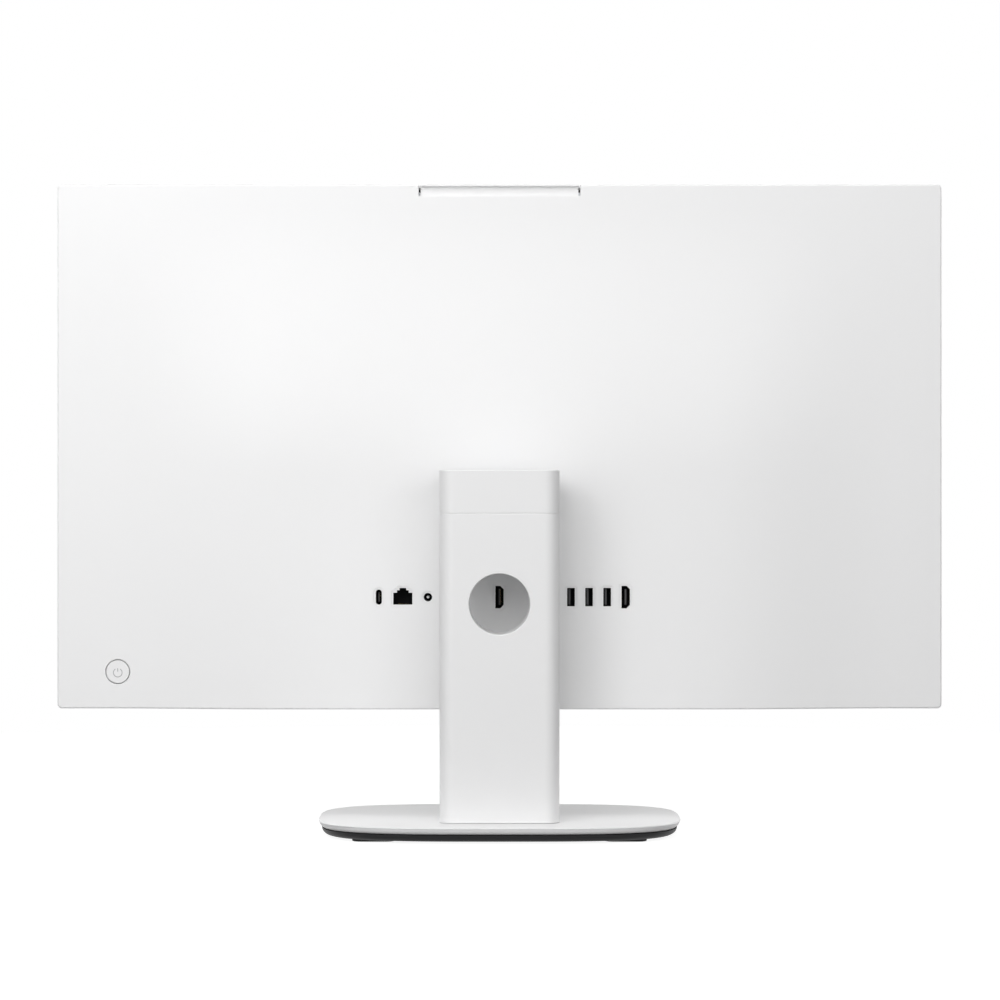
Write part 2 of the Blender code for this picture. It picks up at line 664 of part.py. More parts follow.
def build_hinge():
    """Yoke with two ears, the shaft through them, its nut and the friction washers."""
    arch = [(COLUMN_MIDDLE - EAR_RADIUS, YOKE_BOTTOM), (COLUMN_MIDDLE + EAR_RADIUS, YOKE_BOTTOM)]
    for step in range(CIRCLE_STEPS // 2 + 1):
        angle = 2 * math.pi * step / CIRCLE_STEPS
        arch.append((COLUMN_MIDDLE + EAR_RADIUS * math.cos(angle), AXIS_Z + EAR_RADIUS * math.sin(angle)))
    yoke = piece("hinge_yoke", sweep(arch, "X", -EAR_OUTER, EAR_OUTER), STEEL)
    gap_y = (COLUMN_MIDDLE - EAR_RADIUS - OVERRUN, COLUMN_MIDDLE + EAR_RADIUS + OVERRUN)
    cut(yoke, block((-EAR_INNER, EAR_INNER), gap_y, (YOKE_TOP, AXIS_Z + EAR_RADIUS + OVERRUN)))
    cut(yoke, sweep(axis_circle(SHAFT_RADIUS + PIN_GAP), "X", -COLUMN_WIDTH, COLUMN_WIDTH))

    nut_inner = EAR_OUTER + SEAT_GAP
    profile = [
        (-nut_inner - SHAFT_HEAD_THICK, SHAFT_HEAD_RADIUS),
        (-nut_inner, SHAFT_HEAD_RADIUS),
        (-nut_inner, SHAFT_RADIUS),
        (nut_inner + NUT_THICK + SHAFT_TAIL, SHAFT_RADIUS),
    ]
    shaft = piece("hinge_shaft", turned(profile, "X", (COLUMN_MIDDLE, AXIS_Z)), STEEL)

    hexagon = moved(circle(NUT_RADIUS, NUT_SIDES), COLUMN_MIDDLE, AXIS_Z)
    nut = piece("hinge_nut", sweep(hexagon, "X", nut_inner, nut_inner + NUT_THICK), STEEL)
    cut(nut, sweep(axis_circle(SHAFT_RADIUS + PIN_GAP), "X", EAR_INNER, COLUMN_WIDTH))

    pieces = [smooth(yoke), smooth(shaft), nut]
    for side, sign in (("left", -1), ("right", 1)):
        inner = sign * (ARM_HALF + SEAT_GAP)
        outer = sign * (EAR_INNER - SEAT_GAP)
        ring = tube(axis_circle(WASHER_RADIUS), axis_circle(SHAFT_RADIUS + PIN_GAP), "X", inner, outer)
        pieces.append(smooth(piece(f"friction_washer_{side}", ring, NICKEL)))
    return pieces


def arm_screw_places():
    """Centres of the four arm screws, in X and Z."""
    across = FLANGE_HALF - ARM_SCREW_INSET
    along = FLANGE_HEIGHT / 2 - ARM_SCREW_INSET
    return [(side * across, AXIS_Z + end * along) for end in (-1, 1) for side in (-1, 1)]


def build_arm():
    """Tilt arm with its knuckle and flange, the bracket it is screwed to, and the screws."""
    arm = piece("tilt_arm", sweep(axis_circle(KNUCKLE_RADIUS), "X", -ARM_HALF, ARM_HALF), ALUMINIUM)
    neck_z = (AXIS_Z - ARM_THICK / 2, AXIS_Z + ARM_THICK / 2)
    join(arm, block((-ARM_HALF, ARM_HALF), (FLANGE_BACK - FLANGE_THICK / 2, COLUMN_MIDDLE), neck_z))
    flange_z = (AXIS_Z - FLANGE_HEIGHT / 2, AXIS_Z + FLANGE_HEIGHT / 2)
    join(arm, block((-FLANGE_HALF, FLANGE_HALF), (FLANGE_FRONT, FLANGE_BACK), flange_z))
    cut(arm, sweep(axis_circle(SHAFT_RADIUS + PIN_GAP), "X", -COLUMN_WIDTH, COLUMN_WIDTH))

    inner_half = FLANGE_HALF
    top_half = inner_half + BRACKET_WALL
    foot_half = top_half + BRACKET_FLANGE
    foot_back = CHASSIS_SEAT + BRACKET_WALL
    right_half = [
        (inner_half, BRACKET_BACK - BRACKET_WALL), (inner_half, CHASSIS_SEAT), (foot_half, CHASSIS_SEAT),
        (foot_half, foot_back), (top_half, foot_back), (top_half, BRACKET_BACK),
    ]
    hat = right_half + [(-x, y) for x, y in reversed(right_half)]
    bracket_z = (AXIS_Z - BRACKET_HEIGHT / 2, AXIS_Z + BRACKET_HEIGHT / 2)
    bracket = piece("stand_bracket", sweep(hat, "Z", *bracket_z), STEEL)

    holes = []
    screws = []
    for index, place in enumerate(arm_screw_places(), start=1):
        holes.append(moved(circle(ARM_SCREW_RADIUS + PIN_GAP, SMALL_STEPS), *place))
        head_front = FLANGE_BACK + SEAT_GAP
        profile = [
            (BRACKET_BACK - BRACKET_WALL, ARM_SCREW_RADIUS),
            (head_front, ARM_SCREW_RADIUS),
            (head_front, ARM_SCREW_HEAD),
            (head_front + ARM_SCREW_HEAD_THICK, ARM_SCREW_HEAD),
        ]
        screws.append(smooth(piece(f"arm_screw_{index}", turned(profile, "Y", place, SMALL_STEPS), STEEL)))
    for target in (arm, bracket):
        cut(target, gathered([sweep(hole, "Y", CHASSIS_SEAT, FLANGE_BACK + OVERRUN) for hole in holes]))
    return [smooth(arm), bracket] + screws


def ramp(share):
    """Smooth rise from 0 to 1."""
    share = min(max(share, 0.0), 1.0)
    return share * share * (3 - 2 * share)


def swell(x, z):
    """Height of the rear cover's broad swelling over its flat border."""
    across = ramp((SWELL_FOOT_HALF - abs(x)) / (SWELL_FOOT_HALF - SWELL_FLAT_HALF))
    upward = ramp((SWELL_FADE_TOP - z) / (SWELL_FADE_TOP - SWELL_FLAT_TOP))
    return SWELL_RISE * across * upward


def cover_body(inset, front):
    """Closed form of the rear cover: the swelling as a grid, square sides, and a flat front."""
    slope = [SWELL_FLAT_HALF + (SWELL_FOOT_HALF - SWELL_FLAT_HALF) * step / SWELL_STEPS
             for step in range(SWELL_STEPS + 1)]
    right = slope + [PANEL_SIDE - inset]
    columns = [-x for x in reversed(right)] + right
    fade = [SWELL_FLAT_TOP + (SWELL_FADE_TOP - SWELL_FLAT_TOP) * step / SWELL_STEPS
            for step in range(SWELL_STEPS + 1)]
    rows = [PANEL_BOTTOM + inset] + fade + [PANEL_TOP - inset]
    shape = bmesh.new()
    back = [[shape.verts.new((x, PANEL_BACK - inset + swell(x, z), z)) for x in columns] for z in rows]
    for low, high in zip(back, back[1:]):
        for index in range(len(columns) - 1):
            shape.faces.new((low[index], low[index + 1], high[index + 1], high[index]))
    border = back[0] + [row[-1] for row in back[1:-1]] + back[-1][::-1] + [row[0] for row in back[-2:0:-1]]
    edge = [shape.verts.new((vertex.co.x, front, vertex.co.z)) for vertex in border]
    for index in range(len(border)):
        beside = (index + 1) % len(border)
        shape.faces.new((border[index], border[beside], edge[beside], edge[index]))
    shape.faces.new(edge)
    bmesh.ops.recalc_face_normals(shape, faces=shape.faces)
    return shape


def rounded_back(shape):
    """Round the four corners, then the edges between the back and the sides."""
    for radius, wanted in ((PANEL_CORNER, edge_runs_forward), (PANEL_EDGE_ROUND, edge_lies_at_back)):
        least = math.radians(COVER_ROUND_ANGLE)
        sharp = [edge for edge in shape.edges if edge.calc_face_angle() > least and wanted(edge)]
        bmesh.ops.bevel(
            shape, geom=sharp, offset=radius, segments=COVER_ROUND_STEPS, profile=0.5, affect="EDGES")
    return shape


def edge_runs_forward(edge):
    """Whether an edge runs from the cover's back to its front plane."""
    return abs(edge.verts[0].co.y - edge.verts[1].co.y) > PANEL_CORNER


def edge_lies_at_back(edge):
    """Whether both ends of an edge lie behind the cover's front plane."""
    return all(vertex.co.y > COVER_FRONT + SEAT_GAP for vertex in edge.verts)


def usb_a_outline(grow):
    """Opening of a USB-A socket, upright."""
    width = USB_A_WIDTH / 2 + grow
    length = USB_A_LENGTH / 2 + grow
    return rectangle(-width, width, -length, length)


def usb_c_outline(grow):
    """Opening of a USB-C socket, upright."""
    return stadium(USB_C_WIDTH + 2 * grow, USB_C_LENGTH + 2 * grow)


def hdmi_outline(grow):
    """Opening of an HDMI socket, upright, with its two slanted corners towards -X."""
    width = HDMI_WIDTH / 2 + grow
    length = HDMI_LENGTH / 2 + grow
    return [
        (width, -length), (width, length), (HDMI_CHAMFER - width, length), (-width, length - HDMI_CHAMFER),
        (-width, HDMI_CHAMFER - length), (HDMI_CHAMFER - width, -length),
    ]


def ethernet_outline(grow):
    """Opening of a network socket, with its latch step upwards."""
    width = ETHERNET_WIDTH / 2 + grow
    step = ETHERNET_STEP_WIDTH / 2 + grow
    tab = ETHERNET_TAB_WIDTH / 2 + grow
    low = -(ETHERNET_HEIGHT + ETHERNET_STEP_HEIGHT + ETHERNET_TAB_HEIGHT) / 2 - grow
    shoulder = low + ETHERNET_HEIGHT + 2 * grow
    neck = shoulder + ETHERNET_STEP_HEIGHT
    top = neck + ETHERNET_TAB_HEIGHT
    return [
        (-width, low), (width, low), (width, shoulder), (step, shoulder), (step, neck), (tab, neck),
        (tab, top), (-tab, top), (-tab, neck), (-step, neck), (-step, shoulder), (-width, shoulder),
    ]


def dc_outline(grow):
    """Opening of the DC inlet."""
    return circle(DC_HOLE_RADIUS + grow)


def port_list():
    """Name, place, opening and tongue of each socket. A tongue is its span in X and half length in Z."""
    usb_a_tongue = (USB_A_WIDTH / 2 - USB_A_TONGUE - PORT_WALL / 2, USB_A_WIDTH / 2 - PORT_WALL / 2)
    hdmi_tongue = (-HDMI_TONGUE / 2, HDMI_TONGUE / 2)
    usb_c_tongue = (-USB_C_TONGUE / 2, USB_C_TONGUE / 2)
    ports = [
        ("usb_c_port", USB_C_X, usb_c_outline, usb_c_tongue, USB_C_LENGTH / 2 - USB_C_WIDTH / 2),
        ("ethernet_jack", ETHERNET_X, ethernet_outline, None, 0.0),
        ("dc_inlet", DC_INLET_X, dc_outline, None, 0.0),
        ("hdmi_port_center", HDMI_CENTER_X, hdmi_outline, hdmi_tongue, HDMI_LENGTH / 2 - HDMI_CHAMFER),
        ("hdmi_port_side", HDMI_SIDE_X, hdmi_outline, hdmi_tongue, HDMI_LENGTH / 2 - HDMI_CHAMFER),
    ]
    for index in range(USB_A_COUNT):
        place = USB_A_X - index * USB_A_PITCH
        half_length = USB_A_LENGTH / 2 - PORT_WALL
        ports.append((f"usb_a_port_{index + 1}", place, usb_a_outline, usb_a_tongue, half_length))
    return ports


def build_ports():
    """Sockets that stand on the mainboard and reach to the inside of the rear cover."""
    face = SWELL_INNER - SEAT_GAP
    floor = BOARD_SEAT + PORT_FLOOR
    pieces = []
    for name, place, outline, tongue, half_length in port_list():
        opening = outline(0.0)
        half_width = max(point[0] for point in opening) + PORT_WALL
        half_height = max(point[1] for point in opening) + PORT_WALL
        body = rectangle(-half_width, half_width, -half_height, half_height)
        finish = BLACK_PLASTIC if outline in (ethernet_outline, dc_outline) else NICKEL
        socket = piece(name, sweep(moved(body, place, PORT_Z), "Y", BOARD_SEAT, face), finish)
        cut(socket, sweep(moved(opening, place, PORT_Z), "Y", floor, face + OVERRUN))
        if tongue:
            tongue_x = (place + tongue[0], place + tongue[1])
            tongue_z = (PORT_Z - half_length, PORT_Z + half_length)
            join(socket, block(tongue_x, (floor - PORT_FLOOR / 2, face - TONGUE_SETBACK), tongue_z))
        if outline is dc_outline:
            pin = moved(circle(DC_PIN_RADIUS, SMALL_STEPS), place, PORT_Z)
            join(socket, sweep(pin, "Y", floor - PORT_FLOOR / 2, face - TONGUE_SETBACK))
        pieces.append(smooth(socket))
    return pieces


def vent_slots():
    """Rows of slots through the bottom and top walls of the rear cover, left and right of the middle."""
    slots = []
    lower_y = (SWELL_BACK + COVER_FRONT) / 2
    upper_y = (PANEL_BACK + COVER_FRONT) / 2
    rows = (
        (PANEL_BOTTOM, VENT_OFFSET, lower_y, VENT_LENGTH),
        (PANEL_TOP, TOP_VENT_OFFSET, upper_y, TOP_VENT_LENGTH),
    )
    for level, offset, middle, length in rows:
        z_span = (level - COVER_WALL - OVERRUN, level + COVER_WALL + OVERRUN)
        for side in (-1, 1):
            for index in range(VENT_COUNT):
                x = side * offset + (index - (VENT_COUNT - 1) / 2) * VENT_PITCH
                slot = stadium(VENT_WIDTH, length, VENT_STEPS)
                slots.append(sweep(moved(slot, x, middle), "Z", *z_span))
    return gathered(slots)


def scoop_cutter():
    """Slot for the fingernail under the camera's lip, and the shallow dish that leads to it."""
    slot_bottom = LIP_BOTTOM - SCOOP_SLOT_HEIGHT
    slot_front = PANEL_BACK - SCOOP_DEPTH
    rear = PANEL_BACK + OVERRUN
    outline = [(rear, SCOOP_BOTTOM), (rear, PANEL_TOP + OVERRUN)]
    outline += [(slot_front, PANEL_TOP + OVERRUN), (slot_front, slot_bottom)]
    for step in range(ROUND_STEPS + 1):
        share = step / ROUND_STEPS
        y = PANEL_BACK - SCOOP_DISH_DEPTH * ramp(1 - share)
        outline.append((y, slot_bottom + (SCOOP_BOTTOM - slot_bottom) * share))
    return sweep(outline, "X", -NOTCH_HALF, NOTCH_HALF)


def build_rear_cover():
    """The moulded shell behind the display, with its openings."""
    cover = piece("rear_cover", rounded_back(cover_body(0.0, COVER_FRONT)), WHITE_PLASTIC)
    cut(cover, cover_body(COVER_WALL, COVER_FRONT - OVERRUN))

    backing_half = NOTCH_HALF + OVERRUN
    backing_y = (SCOOP_FRONT, PANEL_BACK - COVER_WALL / 2)
    backing_z = (SCOOP_BOTTOM - OVERRUN, PANEL_TOP - COVER_WALL / 2)
    join(cover, block((-backing_half, backing_half), backing_y, backing_z))
    notch_z = (LIP_BOTTOM - SEAT_GAP, PANEL_TOP + OVERRUN)
    notch_y = (CAMERA_FRONT - SLIDE_GAP, PANEL_BACK + OVERRUN)
    cut(cover, block((-NOTCH_HALF, NOTCH_HALF), notch_y, notch_z))
    slot_half = CAMERA_BODY_WIDTH / 2 + SLIDE_GAP
    slot_z = (PANEL_TOP - COVER_WALL - OVERRUN, PANEL_TOP + OVERRUN)
    cut(cover, block((-slot_half, slot_half), (CAMERA_FRONT - SLIDE_GAP, SCOOP_FRONT), slot_z))
    cut(cover, scoop_cutter())
    grooves = []
    groove_bottom = PANEL_TOP - SCOOP_GROOVE_LENGTH
    for side in (-1, 1):
        outer = side * NOTCH_HALF
        inner = side * CAMERA_LIP_WIDTH / 2
        groove_y = (PANEL_BACK - SCOOP_GROOVE_DEPTH, PANEL_BACK + OVERRUN)
        grooves.append(block((min(inner, outer), max(inner, outer)), groove_y, (groove_bottom, PANEL_TOP)))
    cut(cover, gathered(grooves))

    depth = (SWELL_INNER - OVERRUN, SWELL_BACK + OVERRUN)
    ports = port_list()
    rims = [moved(port[2](PORT_RIM), port[1], PORT_Z) for port in ports]
    holes = [moved(port[2](PORT_HOLE_ROOM), port[1], PORT_Z) for port in ports]
    cut(cover, gathered([sweep(rim, "Y", SWELL_BACK - PORT_RIM_DEPTH, depth[1]) for rim in rims]))
    cut(cover, gathered([sweep(hole, "Y", *depth) for hole in holes]))

    neck_half = ARM_HALF + ARM_OPENING_ROOM
    neck_z = (AXIS_Z - ARM_THICK / 2 - ARM_OPENING_ROOM, AXIS_Z + ARM_THICK / 2 + ARM_OPENING_ROOM)
    cut(cover, block((-neck_half, neck_half), depth, neck_z))
    ring = moved(circle(BUTTON_RADIUS + BUTTON_RING), BUTTON_X, BUTTON_Z)
    cut(cover, sweep(ring, "Y", FLAT_INNER - OVERRUN, PANEL_BACK + OVERRUN))
    cut(cover, vent_slots())
    return smooth(cover, COVER_SMOOTH_ANGLE)


def build_front():
    """Bezel with its chin, the display panel, the backlight tray and the chassis plate."""
    middle_z = (PANEL_BOTTOM + PANEL_TOP) / 2
    sections = []
    for inset, drop in reversed(rounding(BEZEL_ROUND)):
        outline = rounded_rectangle(
            PANEL_WIDTH - 2 * inset, PANEL_HEIGHT - 2 * inset, PANEL_CORNER - inset, FILLET_STEPS)
        sections.append((moved(outline, 0.0, middle_z), PANEL_FRONT + drop))
    outline = rounded_rectangle(PANEL_WIDTH, PANEL_HEIGHT, PANEL_CORNER, FILLET_STEPS)
    sections.append((moved(outline, 0.0, middle_z), BEZEL_BACK))
    bezel = piece("front_bezel", loft(sections, "Y"), WHITE_PLASTIC)
    inner_side = PANEL_SIDE - BEZEL_RIM
    chin_top = PANEL_BOTTOM + CHIN_HEIGHT
    whole_y = (PANEL_FRONT - OVERRUN, BEZEL_BACK + OVERRUN)
    cut(bezel, block((-inner_side, inner_side), whole_y, (chin_top, PANEL_TOP - BEZEL_RIM)))
    pocket_z = (PANEL_BOTTOM + BEZEL_RIM, chin_top - BEZEL_RIM)
    cut(bezel, block((-inner_side, inner_side), (PANEL_FRONT + BEZEL_FACE, whole_y[1]), pocket_z))

    screen_side = inner_side - SEAT_GAP
    screen_z = (chin_top + SEAT_GAP, PANEL_TOP - BEZEL_RIM - SEAT_GAP)
    screen = block((-screen_side, screen_side), (SCREEN_FRONT, SCREEN_BACK), screen_z)
    screen = piece("display_panel", screen, SCREEN_GLASS)

    tray_side = screen_side - TRAY_INSET
    tray_z = (screen_z[0] + TRAY_INSET, screen_z[1] - TRAY_INSET)
    tray = piece("backlight_tray", block((-tray_side, tray_side), (TRAY_FRONT, TRAY_BACK), tray_z), ALUMINIUM)
    grooves = []
    for index in range(TRAY_GROOVES):
        level = tray_z[0] + (tray_z[1] - tray_z[0]) * (index + 0.5) / TRAY_GROOVES
        groove_z = (level - TRAY_GROOVE_WIDTH / 2, level + TRAY_GROOVE_WIDTH / 2)
        groove_y = (TRAY_BACK - TRAY_GROOVE_DEPTH, TRAY_BACK + OVERRUN)
        grooves.append(block((-tray_side - OVERRUN, tray_side + OVERRUN), groove_y, groove_z))
    cut(tray, gathered(grooves))

    plate_side = PANEL_SIDE - CHASSIS_INSET
    plate_z = (PANEL_BOTTOM + CHASSIS_INSET, PANEL_TOP - CHASSIS_INSET)
    plate = block((-plate_side, plate_side), (CHASSIS_FRONT, CHASSIS_BACK), plate_z)
    plate = piece("chassis_plate", plate, STEEL)
    post_y = (CHASSIS_FRONT + CHASSIS_THICK / 2, CHASSIS_BACK + STANDOFF_HEIGHT)
    standoffs = []
    for x in (BOARD_LEFT + STANDOFF_INSET, BOARD_SHIFT, BOARD_RIGHT - STANDOFF_INSET):
        for z in (BOARD_BOTTOM + STANDOFF_INSET, BOARD_TOP - STANDOFF_INSET):
            post = moved(circle(STANDOFF_RADIUS, SMALL_STEPS), x, z)
            standoffs.append(sweep(post, "Y", *post_y))
    join(plate, gathered(standoffs))
    return [smooth(bezel), screen, tray, smooth(plate)]


def build_camera():
    """Pull-up camera body with its lip and window, and the two rails it slides on."""
    half = CAMERA_BODY_WIDTH / 2
    body_bottom = PANEL_TOP - CAMERA_BODY_HEIGHT
    body = block((-half, half), (CAMERA_FRONT, CAMERA_BACK), (body_bottom, PANEL_TOP))
    body = piece("camera_body", body, WHITE_PLASTIC)
    lip_half = CAMERA_LIP_WIDTH / 2
    join(body, block((-lip_half, lip_half), (CAMERA_FRONT, PANEL_BACK), (LIP_BOTTOM, PANEL_TOP)))
    tongue_middle = (CAMERA_FRONT + CAMERA_BACK) / 2
    groove_half = RAIL_TONGUE / 2 + SLIDE_GAP
    groove_y = (tongue_middle - groove_half, tongue_middle + groove_half)
    groove_z = (body_bottom - OVERRUN, SCOOP_BOTTOM)
    for side in (-1, 1):
        inner = side * (half - RAIL_TONGUE_REACH - SLIDE_GAP)
        outer = side * (half + OVERRUN)
        cut(body, block((min(inner, outer), max(inner, outer)), groove_y, groove_z))
    window_z = PANEL_TOP - CAMERA_WINDOW_DROP
    glass = rounded_rectangle(CAMERA_WINDOW_WIDTH, CAMERA_WINDOW_HEIGHT, CAMERA_WINDOW_CORNER)
    pocket_width = CAMERA_WINDOW_WIDTH + 2 * SEAT_GAP
    pocket_height = CAMERA_WINDOW_HEIGHT + 2 * SEAT_GAP
    pocket = rounded_rectangle(pocket_width, pocket_height, CAMERA_WINDOW_CORNER + SEAT_GAP)
    pocket_back = CAMERA_FRONT + CAMERA_WINDOW_THICK + SEAT_GAP
    cut(body, sweep(moved(pocket, 0.0, window_z), "Y", CAMERA_FRONT - OVERRUN, pocket_back))
    glass_span = (CAMERA_FRONT, CAMERA_FRONT + CAMERA_WINDOW_THICK)
    window = piece("camera_window", sweep(moved(glass, 0.0, window_z), "Y", *glass_span), SCREEN_GLASS)

    rails = []
    rail_top = SCOOP_BOTTOM - OVERRUN - SEAT_GAP
    rail_z = (rail_top - RAIL_HEIGHT, rail_top)
    for side, sign in (("left", -1), ("right", 1)):
        near = sign * (half + SLIDE_GAP)
        far = near + sign * RAIL_WIDTH
        tip = near - sign * RAIL_TONGUE_REACH
        rail_y = (CHASSIS_SEAT, CHASSIS_SEAT + RAIL_DEPTH)
        rail = block((min(near, far), max(near, far)), rail_y, rail_z)
        rail = piece(f"camera_rail_{side}", rail, BLACK_PLASTIC)
        root = near + sign * RAIL_WIDTH / 2
        tongue_y = (tongue_middle - RAIL_TONGUE / 2, tongue_middle + RAIL_TONGUE / 2)
        join(rail, block((min(tip, root), max(tip, root)), tongue_y, rail_z))
        rails.append(rail)
    return [body, window], rails


def build_button():
    """Round power button and the switch behind it."""
    lip_back = FLAT_INNER - SEAT_GAP
    lip_front = lip_back - BUTTON_LIP_THICK
    lip_radius = BUTTON_RADIUS + BUTTON_RING + BUTTON_LIP
    stem_tip = SWITCH_TOP + BUTTON_TRAVEL + SEAT_GAP
    profile = [
        (stem_tip, BUTTON_STEM_RADIUS), (lip_front, BUTTON_STEM_RADIUS), (lip_front, lip_radius),
        (lip_back, lip_radius), (lip_back, BUTTON_RADIUS), (PANEL_BACK, BUTTON_RADIUS),
    ]
    button = smooth(piece("power_button", turned(profile, "Y", (BUTTON_X, BUTTON_Z)), WHITE_PLASTIC))

    x_span = (BUTTON_X - SWITCH_LENGTH / 2, BUTTON_X + SWITCH_LENGTH / 2)
    z_span = (BUTTON_Z - SWITCH_WIDTH / 2, BUTTON_Z + SWITCH_WIDTH / 2)
    switch = block(x_span, (CHASSIS_SEAT, CHASSIS_SEAT + SWITCH_BOARD), z_span)
    switch = piece("power_switch", switch, CIRCUIT_BOARD)
    plunger = moved(circle(SWITCH_PLUNGER, SMALL_STEPS), BUTTON_X, BUTTON_Z)
    join(switch, sweep(plunger, "Y", CHASSIS_SEAT + SWITCH_BOARD / 2, SWITCH_TOP))
    return button, switch


def build_cooling():
    """Processor, cold plate, heat pipe, fins, fan housing, fan cover and rotor."""
    left = PROCESSOR_X - PROCESSOR_SIZE / 2
    right = PROCESSOR_X + PROCESSOR_SIZE / 2
    centre_z = BOARD_BOTTOM + PROCESSOR_RISE
    z_span = (centre_z - PROCESSOR_HEIGHT / 2, centre_z + PROCESSOR_HEIGHT / 2)
    chip_back = BOARD_SEAT + PROCESSOR_THICK
    processor = piece("processor", block((left, right), (BOARD_SEAT, chip_back), z_span), SILICON)
    margin = COLD_PLATE_MARGIN
    plate_z = (z_span[0] - margin, z_span[1] + margin)
    plate_x = (left - margin, right + margin)
    plate = piece("cold_plate", block(plate_x, (chip_back + SEAT_GAP, FIN_BACK), plate_z), COPPER)

    fan_left = FAN_X - FAN_SIZE / 2
    fan_right = FAN_X + FAN_SIZE / 2
    fin_z = (FIN_TOP - FIN_HEIGHT, FIN_TOP)
    pitch = (FAN_SIZE - FIN_THICK) / (FIN_COUNT - 1)
    comb = [(fan_right, FIN_BACK), (fan_left, FIN_BACK)]
    for index in range(FIN_COUNT):
        x = fan_left + index * pitch
        comb += [(x, CHASSIS_SEAT), (x + FIN_THICK, CHASSIS_SEAT)]
        if index < FIN_COUNT - 1:
            comb += [(x + FIN_THICK, FIN_BACK - FIN_BASE), (x + pitch, FIN_BACK - FIN_BASE)]
    fins = piece("heat_sink", sweep(comb, "Z", *fin_z), ALUMINIUM)

    pipe_end_z = (fin_z[0] + fin_z[1]) / 2
    route = []
    for step in range(PIPE_STEPS + 1):
        x = left + (fan_right - PIPE_RADIUS - left) * step / PIPE_STEPS
        fall = (pipe_end_z - centre_z) * ramp((x - right) / (fan_left - right))
        route.append(Vector((x, PIPE_Y, centre_z + fall)))
    pipe = heat_pipe(route)

    return [processor, plate, fins, pipe] + build_fan(fan_left, fan_right)


def heat_pipe(route):
    """Round copper pipe along a route."""
    shape = bmesh.new()
    rings = []
    for index, point in enumerate(route):
        along = route[min(index + 1, len(route) - 1)] - route[max(index - 1, 0)]
        side = Vector((0.0, 1.0, 0.0))
        up = along.cross(side).normalized()
        ring = []
        for step in range(PIPE_SIDES):
            angle = 2 * math.pi * step / PIPE_SIDES
            offset = side * (PIPE_RADIUS * math.cos(angle)) + up * (PIPE_RADIUS * math.sin(angle))
            ring.append(shape.verts.new(point + offset))
        rings.append(ring)
    shape.faces.new(rings[0])
    shape.faces.new(rings[-1])
    for ring, following in zip(rings, rings[1:]):
        for index in range(PIPE_SIDES):
            beside = (index + 1) % PIPE_SIDES
            shape.faces.new((ring[index], ring[beside], following[beside], following[index]))
    bmesh.ops.recalc_face_normals(shape, faces=shape.faces)
    return smooth(piece("heat_pipe", shape, COPPER))


def build_fan(fan_left, fan_right):
    """Open blower housing with its pin, its cover with the inlet, and the rotor."""
    floor = CHASSIS_SEAT + FAN_WALL
    rim = CHASSIS_SEAT + FAN_DEPTH
    bottom = FAN_Z - FAN_SIZE / 2
    top = FAN_Z + FAN_SIZE / 2
    housing = block((fan_left, fan_right), (CHASSIS_SEAT, rim), (bottom, top))
    housing = piece("fan_housing", housing, BLACK_PLASTIC)
    chamber_radius = FAN_SIZE / 2 - FAN_WALL
    chamber = moved(circle(chamber_radius, 2 * CIRCLE_STEPS), FAN_X, FAN_Z)
    cut(housing, sweep(chamber, "Y", floor, rim + OVERRUN))
    outlet_x = (fan_left + FAN_WALL, fan_right - FAN_WALL)
    cut(housing, block(outlet_x, (floor, rim + OVERRUN), (bottom - OVERRUN, FAN_Z)))
    centre = (FAN_X, FAN_Z)
    pin = moved(circle(FAN_PIN_RADIUS, SMALL_STEPS), *centre)
    join(housing, sweep(pin, "Y", CHASSIS_SEAT + FAN_WALL / 2, rim - ROTOR_ROOM))

    lid_y = (rim + SEAT_GAP, rim + SEAT_GAP + FAN_COVER_THICK)
    lid = piece("fan_cover", block((fan_left, fan_right), lid_y, (bottom, top)), STEEL)
    cut(lid, sweep(moved(circle(FAN_INLET_RADIUS), *centre), "Y", rim, rim + FAN_DEPTH))

    wheel_front = floor + SEAT_GAP
    wheel_back = rim - ROTOR_ROOM
    profile = [
        (wheel_front, ROTOR_RADIUS), (wheel_front + ROTOR_DISC, ROTOR_RADIUS),
        (wheel_front + ROTOR_DISC, ROTOR_HUB_RADIUS), (wheel_back, ROTOR_HUB_RADIUS),
    ]
    rotor = piece("fan_rotor", turned(profile, "Y", centre), BLACK_PLASTIC)
    blades = []
    for index in range(BLADE_COUNT):
        turn = 2 * math.pi * index / BLADE_COUNT
        blade = moved(blade_outline(turn), *centre)
        blades.append(sweep(blade, "Y", wheel_front + ROTOR_DISC / 2, wheel_back))
    join(rotor, gathered(blades))
    bore = moved(circle(FAN_PIN_RADIUS + PIN_GAP, SMALL_STEPS), *centre)
    cut(rotor, sweep(bore, "Y", wheel_front - OVERRUN, wheel_back + OVERRUN))
    return [smooth(housing), lid, rotor]


def blade_outline(turn):
    """Outline of one swept blade of the rotor, from inside its hub to its rim."""
    inner = ROTOR_HUB_RADIUS - 2 * BLADE_THICK
    outer = ROTOR_RADIUS - BLADE_THICK
    sides = ([], [])
    for step in range(BLADE_STEPS + 1):
        share = step / BLADE_STEPS
        radius = inner + (outer - inner) * share
        angle = turn + BLADE_SWEEP * share ** 2
        offset = BLADE_THICK / 2 / radius
        for side, sign in zip(sides, (-1, 1)):
            side.append((radius * math.cos(angle + sign * offset), radius * math.sin(angle + sign * offset)))
    return sides[0] + sides[1][::-1]


